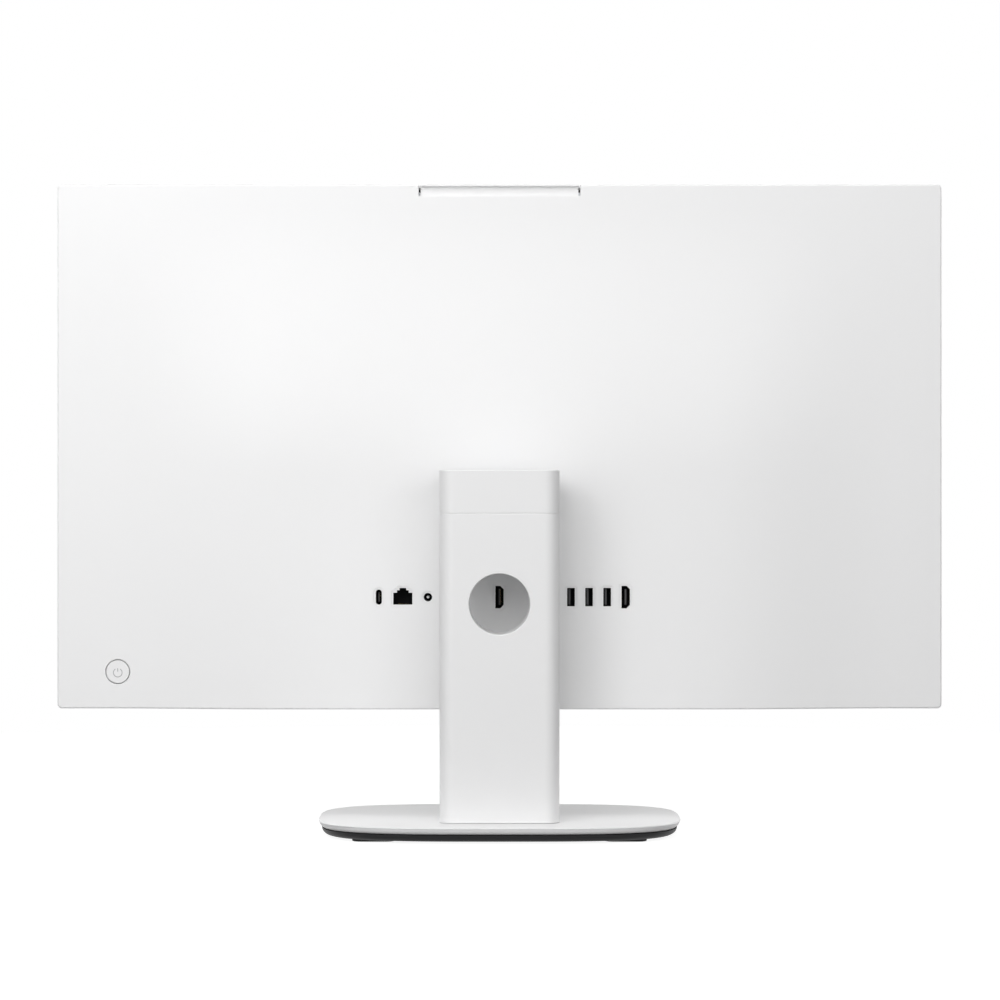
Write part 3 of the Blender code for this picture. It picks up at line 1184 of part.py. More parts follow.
def build_mainboard():
    """Mainboard with its memory, storage and wireless cards."""
    board = block((BOARD_LEFT, BOARD_RIGHT), (BOARD_FRONT, BOARD_BACK), (BOARD_BOTTOM, BOARD_TOP))
    board = piece("mainboard", board, CIRCUIT_BOARD)

    socket_left = BOARD_LEFT + CARD_INSET
    socket_right = socket_left + MEMORY_WIDTH + 2 * PORT_WALL + 2 * SEAT_GAP
    socket_z = (BOARD_BOTTOM + SEAT_GAP, BOARD_BOTTOM + SEAT_GAP + MEMORY_SOCKET_HEIGHT)
    socket = block((socket_left, socket_right), (BOARD_SEAT, BOARD_SEAT + MEMORY_SOCKET_DEPTH), socket_z)
    socket = piece("memory_socket", socket, BLACK_PLASTIC)
    module_x = (socket_left + PORT_WALL + SEAT_GAP, socket_right - PORT_WALL - SEAT_GAP)
    module_bottom = socket_z[1] - MEMORY_BITE + SEAT_GAP
    pieces = [board, socket]
    for level, name in enumerate(("memory_module_lower", "memory_module_upper")):
        front = BOARD_SEAT + MEMORY_LEVEL + level * MEMORY_PITCH
        slot_y = (front - SEAT_GAP, front + MEMORY_THICK + SEAT_GAP)
        slot_x = (module_x[0] - SEAT_GAP, module_x[1] + SEAT_GAP)
        cut(socket, block(slot_x, slot_y, (socket_z[1] - MEMORY_BITE, socket_z[1] + OVERRUN)))
        module_z = (module_bottom, module_bottom + MEMORY_HEIGHT)
        module = block(module_x, (front, front + MEMORY_THICK), module_z)
        module = piece(name, module, CIRCUIT_BOARD)
        join(module, memory_chips(module_x, front + MEMORY_THICK, module_bottom))
        pieces.append(module)

    storage_x = BOARD_LEFT + CARD_INSET
    pieces.append(build_card("storage_module", storage_x, STORAGE_LENGTH, STORAGE_CHIPS))
    pieces.append(build_card("wireless_card", WIRELESS_X, WIRELESS_LENGTH, WIRELESS_CHIPS))
    return pieces


def memory_chips(x_span, face, low):
    """Row of chips on the rear of a memory module."""
    pitch = (x_span[1] - x_span[0]) / MEMORY_CHIPS
    chips = []
    for index in range(MEMORY_CHIPS):
        middle = x_span[0] + pitch * (index + 0.5)
        chip_x = (middle - MEMORY_CHIP_WIDTH / 2, middle + MEMORY_CHIP_WIDTH / 2)
        chip_z = (low + MEMORY_CHIP_RISE, low + MEMORY_CHIP_RISE + MEMORY_CHIP_HEIGHT)
        chips.append(block(chip_x, (face - MEMORY_THICK / 2, face + MEMORY_CHIP), chip_z))
    return gathered(chips)


def build_card(name, left, length, chip_count):
    """Plug-in card on its connector and post, near the top edge of the mainboard."""
    z_span = (BOARD_TOP - CARD_INSET - CARD_WIDTH, BOARD_TOP - CARD_INSET)
    front = BOARD_SEAT + CARD_LIFT
    card = piece(name, block((left, left + length), (front, front + CARD_THICK), z_span), CIRCUIT_BOARD)
    middle_z = (z_span[0] + z_span[1]) / 2
    post_z = (middle_z - CARD_FOOT / 2, middle_z + CARD_FOOT / 2)
    join(card, gathered([
        block((left, left + CARD_FOOT), (BOARD_SEAT, front + CARD_THICK / 2), z_span),
        block((left + length - CARD_FOOT, left + length), (BOARD_SEAT, front + CARD_THICK / 2), post_z),
    ]))
    pitch = (length - 2 * CARD_FOOT) / chip_count
    chips = []
    for index in range(chip_count):
        low = left + CARD_FOOT + pitch * index
        chip_x = (low + CARD_CHIP_GAP / 2, low + pitch - CARD_CHIP_GAP / 2)
        chip_y = (front + CARD_THICK / 2, front + CARD_THICK + CARD_CHIP)
        chip_z = (z_span[0] + CARD_CHIP_GAP / 2, z_span[1] - CARD_CHIP_GAP / 2)
        chips.append(block(chip_x, chip_y, chip_z))
    join(card, gathered(chips))
    return card


def build_speakers():
    """Slim speaker boxes between the fan and the power switch, and mirrored on the other side."""
    inner = FAN_X + FAN_SIZE / 2 + SPEAKER_SIDE_ROOM
    outer = BUTTON_X - SWITCH_LENGTH / 2 - SPEAKER_SIDE_ROOM
    back = FLAT_INNER - SEAT_GAP
    low = PANEL_BOTTOM + COVER_WALL + SPEAKER_FLOOR
    pieces = []
    for side, sign in (("left", -1), ("right", 1)):
        x_span = (min(sign * inner, sign * outer), max(sign * inner, sign * outer))
        box = block(x_span, (CHASSIS_SEAT, back), (low, low + SPEAKER_HEIGHT))
        speaker = piece(f"speaker_{side}", box, BLACK_PLASTIC)
        centre = (sign * (inner + outer) / 2, low + SPEAKER_HEIGHT / 2)
        cone = [(back - SPEAKER_CONE_DEPTH, SPEAKER_CONE_RADIUS / 2), (back, SPEAKER_CONE_RADIUS)]
        mouth = [(back + OVERRUN, SPEAKER_CONE_RADIUS)]
        cut(speaker, turned(cone + mouth, "Y", centre))
        pieces.append(smooth(speaker))
    return pieces


def axis_empty(name, place, parent=None):
    """An empty on a joint's axis, for the pieces that move with it."""
    empty = bpy.data.objects.new(name, None)
    bpy.context.scene.collection.objects.link(empty)
    empty.location = place
    if parent:
        carry(parent, [empty])
    return empty


def carry(empty, objects):
    """Parent objects to an empty without moving them."""
    bpy.context.view_layer.update()
    for obj in objects:
        obj.parent = empty
        obj.matrix_parent_inverse = empty.matrix_world.inverted()


def main():
    """Build every piece and hang the moving ones on their axes."""
    clear_scene()
    stand = axis_empty("stand", (0.0, 0.0, 0.0))
    carry(stand, build_base() + build_column() + build_hinge())
    tilt = axis_empty("tilt_axis", (0.0, COLUMN_MIDDLE, AXIS_Z), stand)
    moving_camera, rails = build_camera()
    button, switch = build_button()
    *cooling, rotor = build_cooling()
    carry(tilt, build_arm() + build_front() + [build_rear_cover()] + build_ports() + build_mainboard())
    carry(tilt, cooling + build_speakers() + rails + [switch])
    carry(axis_empty("camera_axis", (0.0, CAMERA_FRONT, PANEL_TOP), tilt), moving_camera)
    carry(axis_empty("button_axis", (BUTTON_X, PANEL_BACK, BUTTON_Z), tilt), [button])
    carry(axis_empty("fan_axis", (FAN_X, CHASSIS_SEAT, FAN_Z), tilt), [rotor])


main()
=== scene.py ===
"""Looks of a white all-in-one computer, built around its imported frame.

Metres, +Z up. The screen faces -Y and the sockets face +Y, towards the camera.
"""

import math

import bmesh
import bpy
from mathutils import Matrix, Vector


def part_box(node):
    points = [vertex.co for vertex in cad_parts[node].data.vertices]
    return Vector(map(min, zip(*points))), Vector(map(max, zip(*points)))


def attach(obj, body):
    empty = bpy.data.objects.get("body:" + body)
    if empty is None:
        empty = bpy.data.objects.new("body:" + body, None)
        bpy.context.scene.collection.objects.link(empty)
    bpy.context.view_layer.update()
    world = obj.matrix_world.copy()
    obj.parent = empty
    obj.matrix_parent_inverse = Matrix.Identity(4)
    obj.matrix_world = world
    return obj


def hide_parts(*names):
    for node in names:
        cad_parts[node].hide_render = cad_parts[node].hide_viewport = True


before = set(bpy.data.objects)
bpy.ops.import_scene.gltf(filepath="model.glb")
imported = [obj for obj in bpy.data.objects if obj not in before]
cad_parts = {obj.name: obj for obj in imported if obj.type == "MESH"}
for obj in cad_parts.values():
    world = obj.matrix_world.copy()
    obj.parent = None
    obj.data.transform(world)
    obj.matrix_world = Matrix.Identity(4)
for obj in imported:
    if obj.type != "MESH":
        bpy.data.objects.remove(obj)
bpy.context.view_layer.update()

MM = 0.001
OVERRUN = 2.0 * MM
SEAT_GAP = 0.3 * MM
CIRCLE_STEPS = 96
CORNER_STEPS = 16
FILLET_STEPS = 6
SMOOTH_ANGLE = 30

# Places and outer sizes, taken from the solids
COVER_LOW, COVER_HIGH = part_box("rear_cover")
BEZEL_LOW, BEZEL_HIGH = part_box("front_bezel")
SCREEN_LOW, SCREEN_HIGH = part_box("display_panel")
CAMERA_LOW, CAMERA_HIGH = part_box("camera_body")
WINDOW_LOW, WINDOW_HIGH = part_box("camera_window")
BUTTON_LOW, BUTTON_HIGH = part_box("power_button")
SHELL_LOW, SHELL_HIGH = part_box("column_rear_shell")
FRONT_SHELL_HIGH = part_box("column_front_shell")[1]
CAP_LOW, CAP_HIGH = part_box("hinge_cap")
SLEEVE_LOW, SLEEVE_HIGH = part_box("cable_sleeve")
BASE_LOW, BASE_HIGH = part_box("base_cover")
PLATE_LOW, PLATE_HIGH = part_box("base_plate")
CORE_LOW, CORE_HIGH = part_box("column_core")
ARM_LOW, ARM_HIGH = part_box("tilt_arm")
SCREW_LOW, SCREW_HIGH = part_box("clamp_screw")

# Display housing
PANEL_SIDE = COVER_HIGH.x
PANEL_BOTTOM = COVER_LOW.z
PANEL_TOP = COVER_HIGH.z
PANEL_CORNER = 3.0 * MM
PANEL_EDGE = 1.2 * MM
SWELL_BACK = COVER_HIGH.y
SWELL_RISE = 11.5 * MM
PANEL_BACK = SWELL_BACK - SWELL_RISE
COVER_FRONT = COVER_LOW.y
COVER_WALL = 2.2 * MM
SWELL_FLAT_HALF = 152 * MM
SWELL_FOOT_HALF = 272 * MM
AXIS_Z = (ARM_LOW.z + ARM_HIGH.z) / 2
SWELL_FLAT_TOP = AXIS_Z + 16 * MM
SWELL_FADE_TOP = PANEL_TOP - 16 * MM
SWELL_STEPS = 24
SWELL_INSIDE_STEPS = 7
EDGE_STEPS = 6
COVER_ROUND_ANGLE = 60
BEZEL_RIM = 1.8 * MM
BEZEL_ROUND = 0.8 * MM
BEZEL_FACE = 2.0 * MM
CHIN_TOP = SCREEN_LOW.z - SEAT_GAP
SCREEN_BORDER = 4.5 * MM
SCREEN_EDGE = 0.25 * MM

# Vents
VENT_WIDTH = 3.0 * MM
VENT_PITCH = 7.0 * MM
VENT_COUNT = 12
VENT_STEPS = 8
# Wall, distance of each half from the middle, depth, and length of a slot
VENT_ROWS = (
    (PANEL_BOTTOM, 66 * MM, (SWELL_BACK + COVER_FRONT) / 2, 11 * MM),
    (PANEL_TOP, 150 * MM, (PANEL_BACK + COVER_FRONT) / 2, 5 * MM),
)

# Openings of the sockets
USB_A_WIDTH = 5.1 * MM
USB_A_LENGTH = 12.5 * MM
USB_A_CORNER = 0.25 * MM
USB_A_CORNER_STEPS = 3
USB_C_WIDTH = 3.9 * MM
USB_C_LENGTH = 10.2 * MM
HDMI_WIDTH = 5.6 * MM
HDMI_LENGTH = 15.3 * MM
HDMI_SLANT = 2.3 * MM
NETWORK_WIDTH = 12.8 * MM
NETWORK_DROP = 5.0 * MM
NETWORK_HEIGHT = 7.9 * MM
NETWORK_STEP_WIDTH = 7.8 * MM
NETWORK_STEP_HEIGHT = 1.7 * MM
NETWORK_TAB_WIDTH = 4.3 * MM
NETWORK_TAB_HEIGHT = 1.6 * MM
DC_RADIUS = 2.75 * MM
DC_STEPS = 48
PORT_ROOM = 0.15 * MM
PORT_RIM = 1.5 * MM
PORT_RIM_DEPTH = 0.4 * MM
PORT_GROOVE_WIDTH = 0.4 * MM
PORT_GROOVE_DEPTH = 0.4 * MM
PORT_MOUTH_ROUND = 0.2 * MM
PORT_MOUTH_STEPS = 3

# Bodies and contacts of the sockets
PORT_FLOOR = 2.0 * MM
PORT_WALL = 0.8 * MM
PORT_EDGE = 0.12 * MM
INSIDE_SEAT = 0.02 * MM
# Sides of a tongue from the socket's middle, half its length, and its number of contacts
USB_A_TONGUE = (0.3 * MM, 1.6 * MM, 5.4 * MM, 4)
HDMI_TONGUE = (-0.6 * MM, 0.6 * MM, 5.35 * MM, 10)
USB_C_TONGUE = (-0.4 * MM, 0.4 * MM, 3.15 * MM, 6)
TONGUE_SETBACK = 1.5 * MM
TONGUE_EDGE = 0.15 * MM
CONTACT_RISE = 0.06 * MM
CONTACT_INSET = 1.0 * MM
CONTACT_SETBACK = 5.0 * MM
CONTACT_SHARE = 0.28
DC_PIN_RADIUS = 1.0 * MM
DC_PIN_TIP = 0.85 * MM
DC_PIN_SHOULDER = 1.5 * MM
DC_PIN_SETBACK = 1.3 * MM
DC_PIN_STEPS = 32
WIRE_COUNT = 8
WIRE_PITCH = 1.02 * MM
WIRE_HALF = 0.2 * MM
WIRE_BOTTOM = -4.98 * MM
WIRE_TOP = -4.9 * MM
WIRE_SETBACK = 11.0 * MM
# Order of a socket's materials
# The inside takes the socket black: plastic body at the floor, painted shade on the inner walls of the nickel
# shells
SOCKET_SHELL, SOCKET_INSIDE_SHADE_AND_PLASTIC, SOCKET_TONGUE, SOCKET_PIN = range(4)

# Pull-up camera
CAMERA_EDGE = 0.3 * MM
LIP_THICK = 1.2 * MM
LIP_HALF = CAMERA_HIGH.x
BODY_HALF = 50 * MM
NOTCH_HALF = LIP_HALF + 1.2 * MM
LIP_BOTTOM = PANEL_TOP - LIP_THICK
SCOOP_HEIGHT = 7.0 * MM
SCOOP_DEPTH = 4.0 * MM
SCOOP_WALL = 0.4 * MM
SCOOP_GROOVE_DEPTH = 5.0 * MM
SCOOP_GROOVE_LENGTH = 7.4 * MM
SCOOP_GROOVE_FLARE = 0.5 * MM
LIP_COVE_HEIGHT = 3.6 * MM
LIP_COVE_REACH = 3.4 * MM
LIP_ROUND = 0.3 * MM
LIP_ROUND_STEPS = 3
SCOOP_BOTTOM = LIP_BOTTOM - SCOOP_HEIGHT
SCOOP_FRONT = PANEL_BACK - SCOOP_DEPTH - SCOOP_WALL
RAIL_GROOVE_HALF = 1.1 * MM
RAIL_GROOVE_REACH = 2.3 * MM
WINDOW_Z = (WINDOW_LOW.z + WINDOW_HIGH.z) / 2
WINDOW_CORNER = 3.6 * MM
WINDOW_EDGE = 0.25 * MM
WINDOW_EDGE_STEPS = 3
PINHOLE_PLACES = (-24 * MM, -9 * MM, 24 * MM)
PINHOLE_RADIUS = 0.5 * MM
PINHOLE_DEPTH = 0.4 * MM
PINHOLE_STEPS = 16
LENS_WELL_MOUTH = 3.0 * MM
LENS_WELL_FLOOR = 2.6 * MM
LENS_WELL_DEPTH = 0.35 * MM
LENS_STEPS = 48
# Depth behind the window's face, and radius
LENS_PROFILE = (
    (0.36 * MM, 2.4 * MM), (0.25 * MM, 2.0 * MM), (0.15 * MM, 1.2 * MM), (0.12 * MM, 0.3 * MM),
)

# Power button
BUTTON_X = (BUTTON_LOW.x + BUTTON_HIGH.x) / 2
BUTTON_Z = (BUTTON_LOW.z + BUTTON_HIGH.z) / 2
BUTTON_RADIUS = 7.95 * MM
BUTTON_RING = 0.7 * MM
BUTTON_ROUND = 0.35 * MM
BUTTON_STEM = 3.0 * MM
BUTTON_FLANGE_REACH = 1.6 * MM
BUTTON_FLANGE_THICK = 1.0 * MM
SYMBOL_RADIUS = 3.0 * MM
SYMBOL_LINE = 0.55 * MM
SYMBOL_OPEN = math.radians(34)
SYMBOL_STEPS = 64
SYMBOL_BAR_LOW = 0.7 * MM
SYMBOL_DROP = 0.6 * MM
SYMBOL_RISE = 0.03 * MM

# Stand
COLUMN_WIDTH = CAP_HIGH.x - CAP_LOW.x
COLUMN_DEPTH = CAP_HIGH.y - CAP_LOW.y
COLUMN_MIDDLE = (CAP_HIGH.y + CAP_LOW.y) / 2
COLUMN_CORNER = 10.5 * MM
COLUMN_CORNER_STEPS = 24
COLUMN_WALL = 2.4 * MM
COLUMN_EDGE = 0.3 * MM
COLUMN_FOOT_EDGE = 0.1 * MM
CAP_SKIRT_INSET = 0.45 * MM
CAP_ROUND = 0.5 * MM
HOLE_RADIUS = 20.5 * MM
HOLE_ROUND = 0.7 * MM
HOLE_Z = (SLEEVE_LOW.z + SLEEVE_HIGH.z) / 2
SLEEVE_WALL = 1.6 * MM
BASE_SQUARENESS = 3.4
BASE_OUTLINE_STEPS = 240
BASE_ROUND = 0.8 * MM
BASE_TAPER = 0.6 * MM
BASE_TUCK = 3.6 * MM
BASE_TUCK_RISE = 4.0 * MM
BASE_SKIRT = 0.6 * MM
PLATE_INSET = 2.4 * MM
PLATE_SWEEP = 5.2 * MM
SCREW_WELL_DEPTH = 2.1 * MM
SCREW_WELL_STEPS = 64
SCREW_HOLE_RADIUS = 3.3 * MM
SCREW_HOLE_STEPS = 48
ARM_NECK_HALF = 29.1 * MM
ARM_NECK_RISE = 4.0 * MM
ARM_ROOM = 1.0 * MM

# Relief of the finishes
GRAIN_DEPTH = 0.05 * MM
METAL_BUMP = 0.06
METAL_DEPTH = 0.02 * MM
BOARD_BUMP = 0.3
BOARD_DEPTH = 0.03 * MM
SURFACE_OUTPUTS = (
    ("Color", "NodeSocketColor"), ("Roughness", "NodeSocketFloat"), ("Height", "NodeSocketFloat"),
)
# Colour sockets of Blender's mix node, which are found by number
MIX_FIRST_COLOUR = 6
MIX_SECOND_COLOUR = 7
MIX_COLOUR_RESULT = 2
FINE_GRAIN = 1600.0
SLOW_DRIFT = 7.0
CLOUD_SCALE = 60.0
TRACK_START = 0.34
PAD_END = 0.10
BOARD_ROUGHNESS = 0.38
PAD_ROUGHNESS_DROP = -0.14
TRACK_PITCH = 260.0
DRAWN_LINES = (40.0, 900.0, 900.0)
CAST_GRAIN = (400.0, 400.0, 400.0)

# Studio
WHITE = (1.0, 1.0, 1.0, 1.0)
AMBIENT = 0.0
FLOOR_GREY = (0.34, 0.34, 0.34, 1.0)
FLOOR_GLOW = 0.91
FLOOR_RADIUS = 1.1
FLOOR_THICK = 20 * MM
FLOOR_DROP = 0.2 * MM
# Name, place, target, size and power. The front here is the side with the sockets
LAMPS = (
    ("key", (0.45, 1.0, 0.85), (0.15, 0.0, 0.4), 0.7, 5.3),
    ("fill", (-0.9, 1.5, 0.65), (0.0, 0.0, 0.3), 1.2, 7.0),
    ("side", (0.9, 1.2, 0.5), (0.1, 0.0, 0.3), 0.9, 4.3),
    ("front", (0.0, 2.3, 1.1), (0.0, 0.0, 0.25), 1.2, 10.3),
    ("overhead", (0.0, 0.3, 2.0), (0.0, 0.0, 0.0), 1.4, 14.4),
    ("behind", (0.0, -1.6, 1.2), (0.0, 0.0, 0.3), 1.2, 1.4),
    ("screen_left", (-1.5, -1.1, 0.6), (0.0, 0.0, 0.27), 0.8, 8.0),
    ("screen_right", (1.5, -1.1, 0.6), (0.0, 0.0, 0.27), 0.8, 8.0),
)

# Photograph's view
CAMERA_PLACE = (-0.00034, 2.352, 0.22895)
CAMERA_TURN = (math.pi / 2, 0.0, math.pi)
CAMERA_LENS = 122.76
CAMERA_SENSOR = 36.0
CAMERA_REACH = 50.0


def rectangle(left, right, low, high):
    """Outline of a rectangle between two pairs of edges."""
    return [(left, low), (right, low), (right, high), (left, high)]


def rounded_rectangle(width, height, radius, steps=CORNER_STEPS):
    """Outline of a rectangle with round corners, about the origin."""
    points = []
    for corner, (side, end) in enumerate(((1, 1), (-1, 1), (-1, -1), (1, -1))):
        for step in range(steps + 1):
            angle = math.pi / 2 * (corner + step / steps)
            across = side * (width / 2 - radius) + radius * math.cos(angle)
            along = end * (height / 2 - radius) + radius * math.sin(angle)
            points.append((across, along))
    return points


def circle(radius, steps=CIRCLE_STEPS):
    """Outline of a circle about the origin."""
    turns = [2 * math.pi * step / steps for step in range(steps)]
    return [(radius * math.cos(turn), radius * math.sin(turn)) for turn in turns]


def stadium(width, length, steps=CORNER_STEPS):
    """Outline of an upright slot with round ends, about the origin."""
    points = []
    for end, start in ((1, 0.0), (-1, math.pi)):
        for step in range(steps + 1):
            angle = start + math.pi * step / steps
            along = end * (length - width) / 2 + width / 2 * math.sin(angle)
            points.append((width / 2 * math.cos(angle), along))
    return points


def moved(outline, across, along):
    """The same outline at another place."""
    return [(point[0] + across, point[1] + along) for point in outline]


def on_axis(point, axis, position):
    """Place an outline's point: (Y, Z) along X, (X, Z) along Y, (X, Y) along Z."""
    if axis == "X":
        return (position, point[0], point[1])
    if axis == "Y":
        return (point[0], position, point[1])
    return (point[0], point[1], position)


def loft(sections, axis, closed=False):
    """Shape through outlines with equal counts. A closed one runs back to its first outline."""
    shape = bmesh.new()
    rings = []
    for outline, position in sections:
        rings.append([shape.verts.new(on_axis(point, axis, position)) for point in outline])
    pairs = list(zip(rings, rings[1:]))
    if closed:
        pairs.append((rings[-1], rings[0]))
    else:
        shape.faces.new(rings[0])
        shape.faces.new(rings[-1])
    for ring, following in pairs:
        for index in range(len(ring)):
            beside = (index + 1) % len(ring)
            shape.faces.new((ring[index], ring[beside], following[beside], following[index]))
    bmesh.ops.recalc_face_normals(shape, faces=shape.faces)
    return shape


def sweep(outline, axis, start, end):
    """An outline swept straight along an axis."""
    return loft([(outline, start), (outline, end)], axis)


def block(x_span, y_span, z_span):
    """A rectangular block between three pairs of planes."""
    return sweep(rectangle(*x_span, *y_span), "Z", *z_span)


def soft_block(x_span, y_span, z_span, radius, steps=2):
    """A rectangular block with small round edges."""
    shape = block(x_span, y_span, z_span)
    bmesh.ops.bevel(
        shape, geom=list(shape.edges), offset=radius, segments=steps, profile=0.5, affect="EDGES")
    return shape


def turned(profile, axis, centre, steps=CIRCLE_STEPS):
    """A shape of revolution from pairs of position and radius along an axis."""
    sections = [(moved(circle(radius, steps), *centre), position) for position, radius in profile]
    return loft(sections, axis)


def rounding(radius, steps=FILLET_STEPS):
    """Pairs of inset and drop for a quarter round, from the flank to the face."""
    turns = [math.pi / 2 * step / steps for step in range(steps + 1)]
    return [(radius * (1 - math.cos(turn)), radius * (1 - math.sin(turn))) for turn in turns]


def painted(shape, index):
    """The same shape with its faces on one of a piece's materials."""
    for face in shape.faces:
        face.material_index = index
    return shape


def gathered(shapes):
    """Several shapes that stay clear of each other, as one."""
    whole = bmesh.new()
    for shape in shapes:
        part = bpy.data.meshes.new("gathered")
        shape.to_mesh(part)
        shape.free()
        whole.from_mesh(part)
        bpy.data.meshes.remove(part)
    return whole


def new_object(name, shape):
    """An object made from a shape."""
    mesh = bpy.data.meshes.new(name)
    shape.to_mesh(mesh)
    shape.free()
    obj = bpy.data.objects.new(name, mesh)
    bpy.context.scene.collection.objects.link(obj)
    return obj


def combined(obj, shape, operation):
    """Join a shape to an object or cut it away, and keep the result as the object's mesh."""
    tool = new_object("tool", shape)
    modifier = obj.modifiers.new("combine", "BOOLEAN")
    modifier.operation = operation
    modifier.object = tool
    graph = bpy.context.evaluated_depsgraph_get()
    result = bpy.data.meshes.new_from_object(obj.evaluated_get(graph))
    obj.modifiers.clear()
    old = obj.data
    obj.data = result
    bpy.data.meshes.remove(old)
    used = tool.data
    bpy.data.objects.remove(tool, do_unlink=True)
    bpy.data.meshes.remove(used)
    result.name = obj.name


def cut(obj, *shapes):
    """Cut each shape out of an object, one after the other."""
    for shape in shapes:
        combined(obj, shape, "DIFFERENCE")


def join(obj, *shapes):
    """Join each shape to an object, one after the other."""
    for shape in shapes:
        combined(obj, shape, "UNION")


def finished(obj, body, nodes, finishes, angle=SMOOTH_ANGLE):
    """Shade a piece, give it its finishes and set it on its body in place of its plain solids."""
    # Clearing the materials also resets each face's choice, so that is kept and set again
    indices = [polygon.material_index for polygon in obj.data.polygons]
    obj.data.materials.clear()
    for finish in finishes:
        obj.data.materials.append(finish)
    obj.data.polygons.foreach_set("material_index", indices)
    obj.data.shade_smooth()
    obj.data.set_sharp_from_angle(angle=math.radians(angle))
    weighted = obj.modifiers.new("weighted_normals", "WEIGHTED_NORMAL")
    weighted.keep_sharp = True
    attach(obj, body)
    if nodes:
        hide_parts(*nodes)


def ramp(share):
    """Smooth rise from 0 to 1."""
    share = min(max(share, 0.0), 1.0)
    return share * share * (3 - 2 * share)


def new_group(name, inputs, outputs):
    """An empty shader node group with named sockets. Inputs give a kind and a starting value."""
    tree = bpy.data.node_groups.new(name, "ShaderNodeTree")
    for label, kind, value in inputs:
        socket = tree.interface.new_socket(label, in_out="INPUT", socket_type=kind)
        socket.default_value = value
    for label, kind in outputs:
        tree.interface.new_socket(label, in_out="OUTPUT", socket_type=kind)
    entry = tree.nodes.new("NodeGroupInput")
    result = tree.nodes.new("NodeGroupOutput")
    return tree, entry, result


def feed(tree, socket, value):
    """Give a socket a number, or link another socket to it."""
    if isinstance(value, (int, float)):
        socket.default_value = value
    else:
        tree.links.new(value, socket)


def noise(tree, vector, scale, detail):
    """A noise texture on given coordinates. The scale is a number or a socket."""
    node = tree.nodes.new("ShaderNodeTexNoise")
    node.inputs["Detail"].default_value = detail
    tree.links.new(vector, node.inputs["Vector"])
    feed(tree, node.inputs["Scale"], scale)
    return node.outputs["Fac"]


def math_node(tree, operation, first, second):
    """A sum, product or other step between two numbers or sockets."""
    node = tree.nodes.new("ShaderNodeMath")
    node.operation = operation
    feed(tree, node.inputs[0], first)
    feed(tree, node.inputs[1], second)
    return node.outputs[0]


def spread(tree, value, middle, width):
    """A 0 to 1 value spread about a middle."""
    centred = math_node(tree, "SUBTRACT", value, 0.5)
    return math_node(tree, "ADD", math_node(tree, "MULTIPLY", centred, width), middle)


def shaded(tree, colour, tone):
    """A colour made lighter or darker by a tone."""
    node = tree.nodes.new("ShaderNodeVectorMath")
    node.operation = "SCALE"
    tree.links.new(colour, node.inputs[0])
    tree.links.new(tone, node.inputs["Scale"])
    return node.outputs[0]


def moulded_grain():
    """Spark-eroded grain of moulded plastic, with a slow drift of tone."""
    tree, entry, result = new_group(
        "moulded_grain",
        [("Color", "NodeSocketColor", (0.8, 0.8, 0.8, 1.0)), ("Grain", "NodeSocketFloat", FINE_GRAIN),
         ("Tone Spread", "NodeSocketFloat", 0.02), ("Roughness", "NodeSocketFloat", 0.5),
         ("Roughness Spread", "NodeSocketFloat", 0.12)],
        SURFACE_OUTPUTS)
    place = tree.nodes.new("ShaderNodeTexCoord").outputs["Object"]
    fine = noise(tree, place, entry.outputs["Grain"], 2.0)
    broad = noise(tree, place, SLOW_DRIFT, 2.0)
    half_fine = math_node(tree, "MULTIPLY", fine, 0.5)
    half_broad = math_node(tree, "MULTIPLY", broad, 0.5)
    mixed = math_node(tree, "ADD", half_fine, half_broad)
    tone = spread(tree, mixed, 1.0, entry.outputs["Tone Spread"])
    tree.links.new(shaded(tree, entry.outputs["Color"], tone), result.inputs["Color"])
    rough = spread(tree, broad, entry.outputs["Roughness"], entry.outputs["Roughness Spread"])
    tree.links.new(rough, result.inputs["Roughness"])
    tree.links.new(fine, result.inputs["Height"])
    return tree


def drawn_metal():
    """Fine lines of rolled, plated or milled metal along one direction."""
    tree, entry, result = new_group(
        "drawn_metal",
        [("Color", "NodeSocketColor", (0.6, 0.6, 0.6, 1.0)), ("Stretch", "NodeSocketVector", DRAWN_LINES),
         ("Tone Spread", "NodeSocketFloat", 0.2), ("Roughness", "NodeSocketFloat", 0.32),
         ("Roughness Spread", "NodeSocketFloat", 0.2)],
        SURFACE_OUTPUTS)
    place = tree.nodes.new("ShaderNodeTexCoord").outputs["Object"]
    scaled = tree.nodes.new("ShaderNodeVectorMath")
    scaled.operation = "MULTIPLY"
    tree.links.new(place, scaled.inputs[0])
    tree.links.new(entry.outputs["Stretch"], scaled.inputs[1])
    lines = noise(tree, scaled.outputs[0], 1.0, 3.0)
    clouds = noise(tree, place, CLOUD_SCALE, 2.0)
    tone = spread(tree, clouds, 1.0, entry.outputs["Tone Spread"])
    tree.links.new(shaded(tree, entry.outputs["Color"], tone), result.inputs["Color"])
    rough = spread(tree, lines, entry.outputs["Roughness"], entry.outputs["Roughness Spread"])
    tree.links.new(rough, result.inputs["Roughness"])
    tree.links.new(lines, result.inputs["Height"])
    return tree


def blended(tree, share, first, second):
    """One colour where a share is 0 and another where it is 1."""
    node = tree.nodes.new("ShaderNodeMix")
    node.data_type = "RGBA"
    tree.links.new(share, node.inputs["Factor"])
    tree.links.new(first, node.inputs[MIX_FIRST_COLOUR])
    tree.links.new(second, node.inputs[MIX_SECOND_COLOUR])
    return node.outputs[MIX_COLOUR_RESULT]


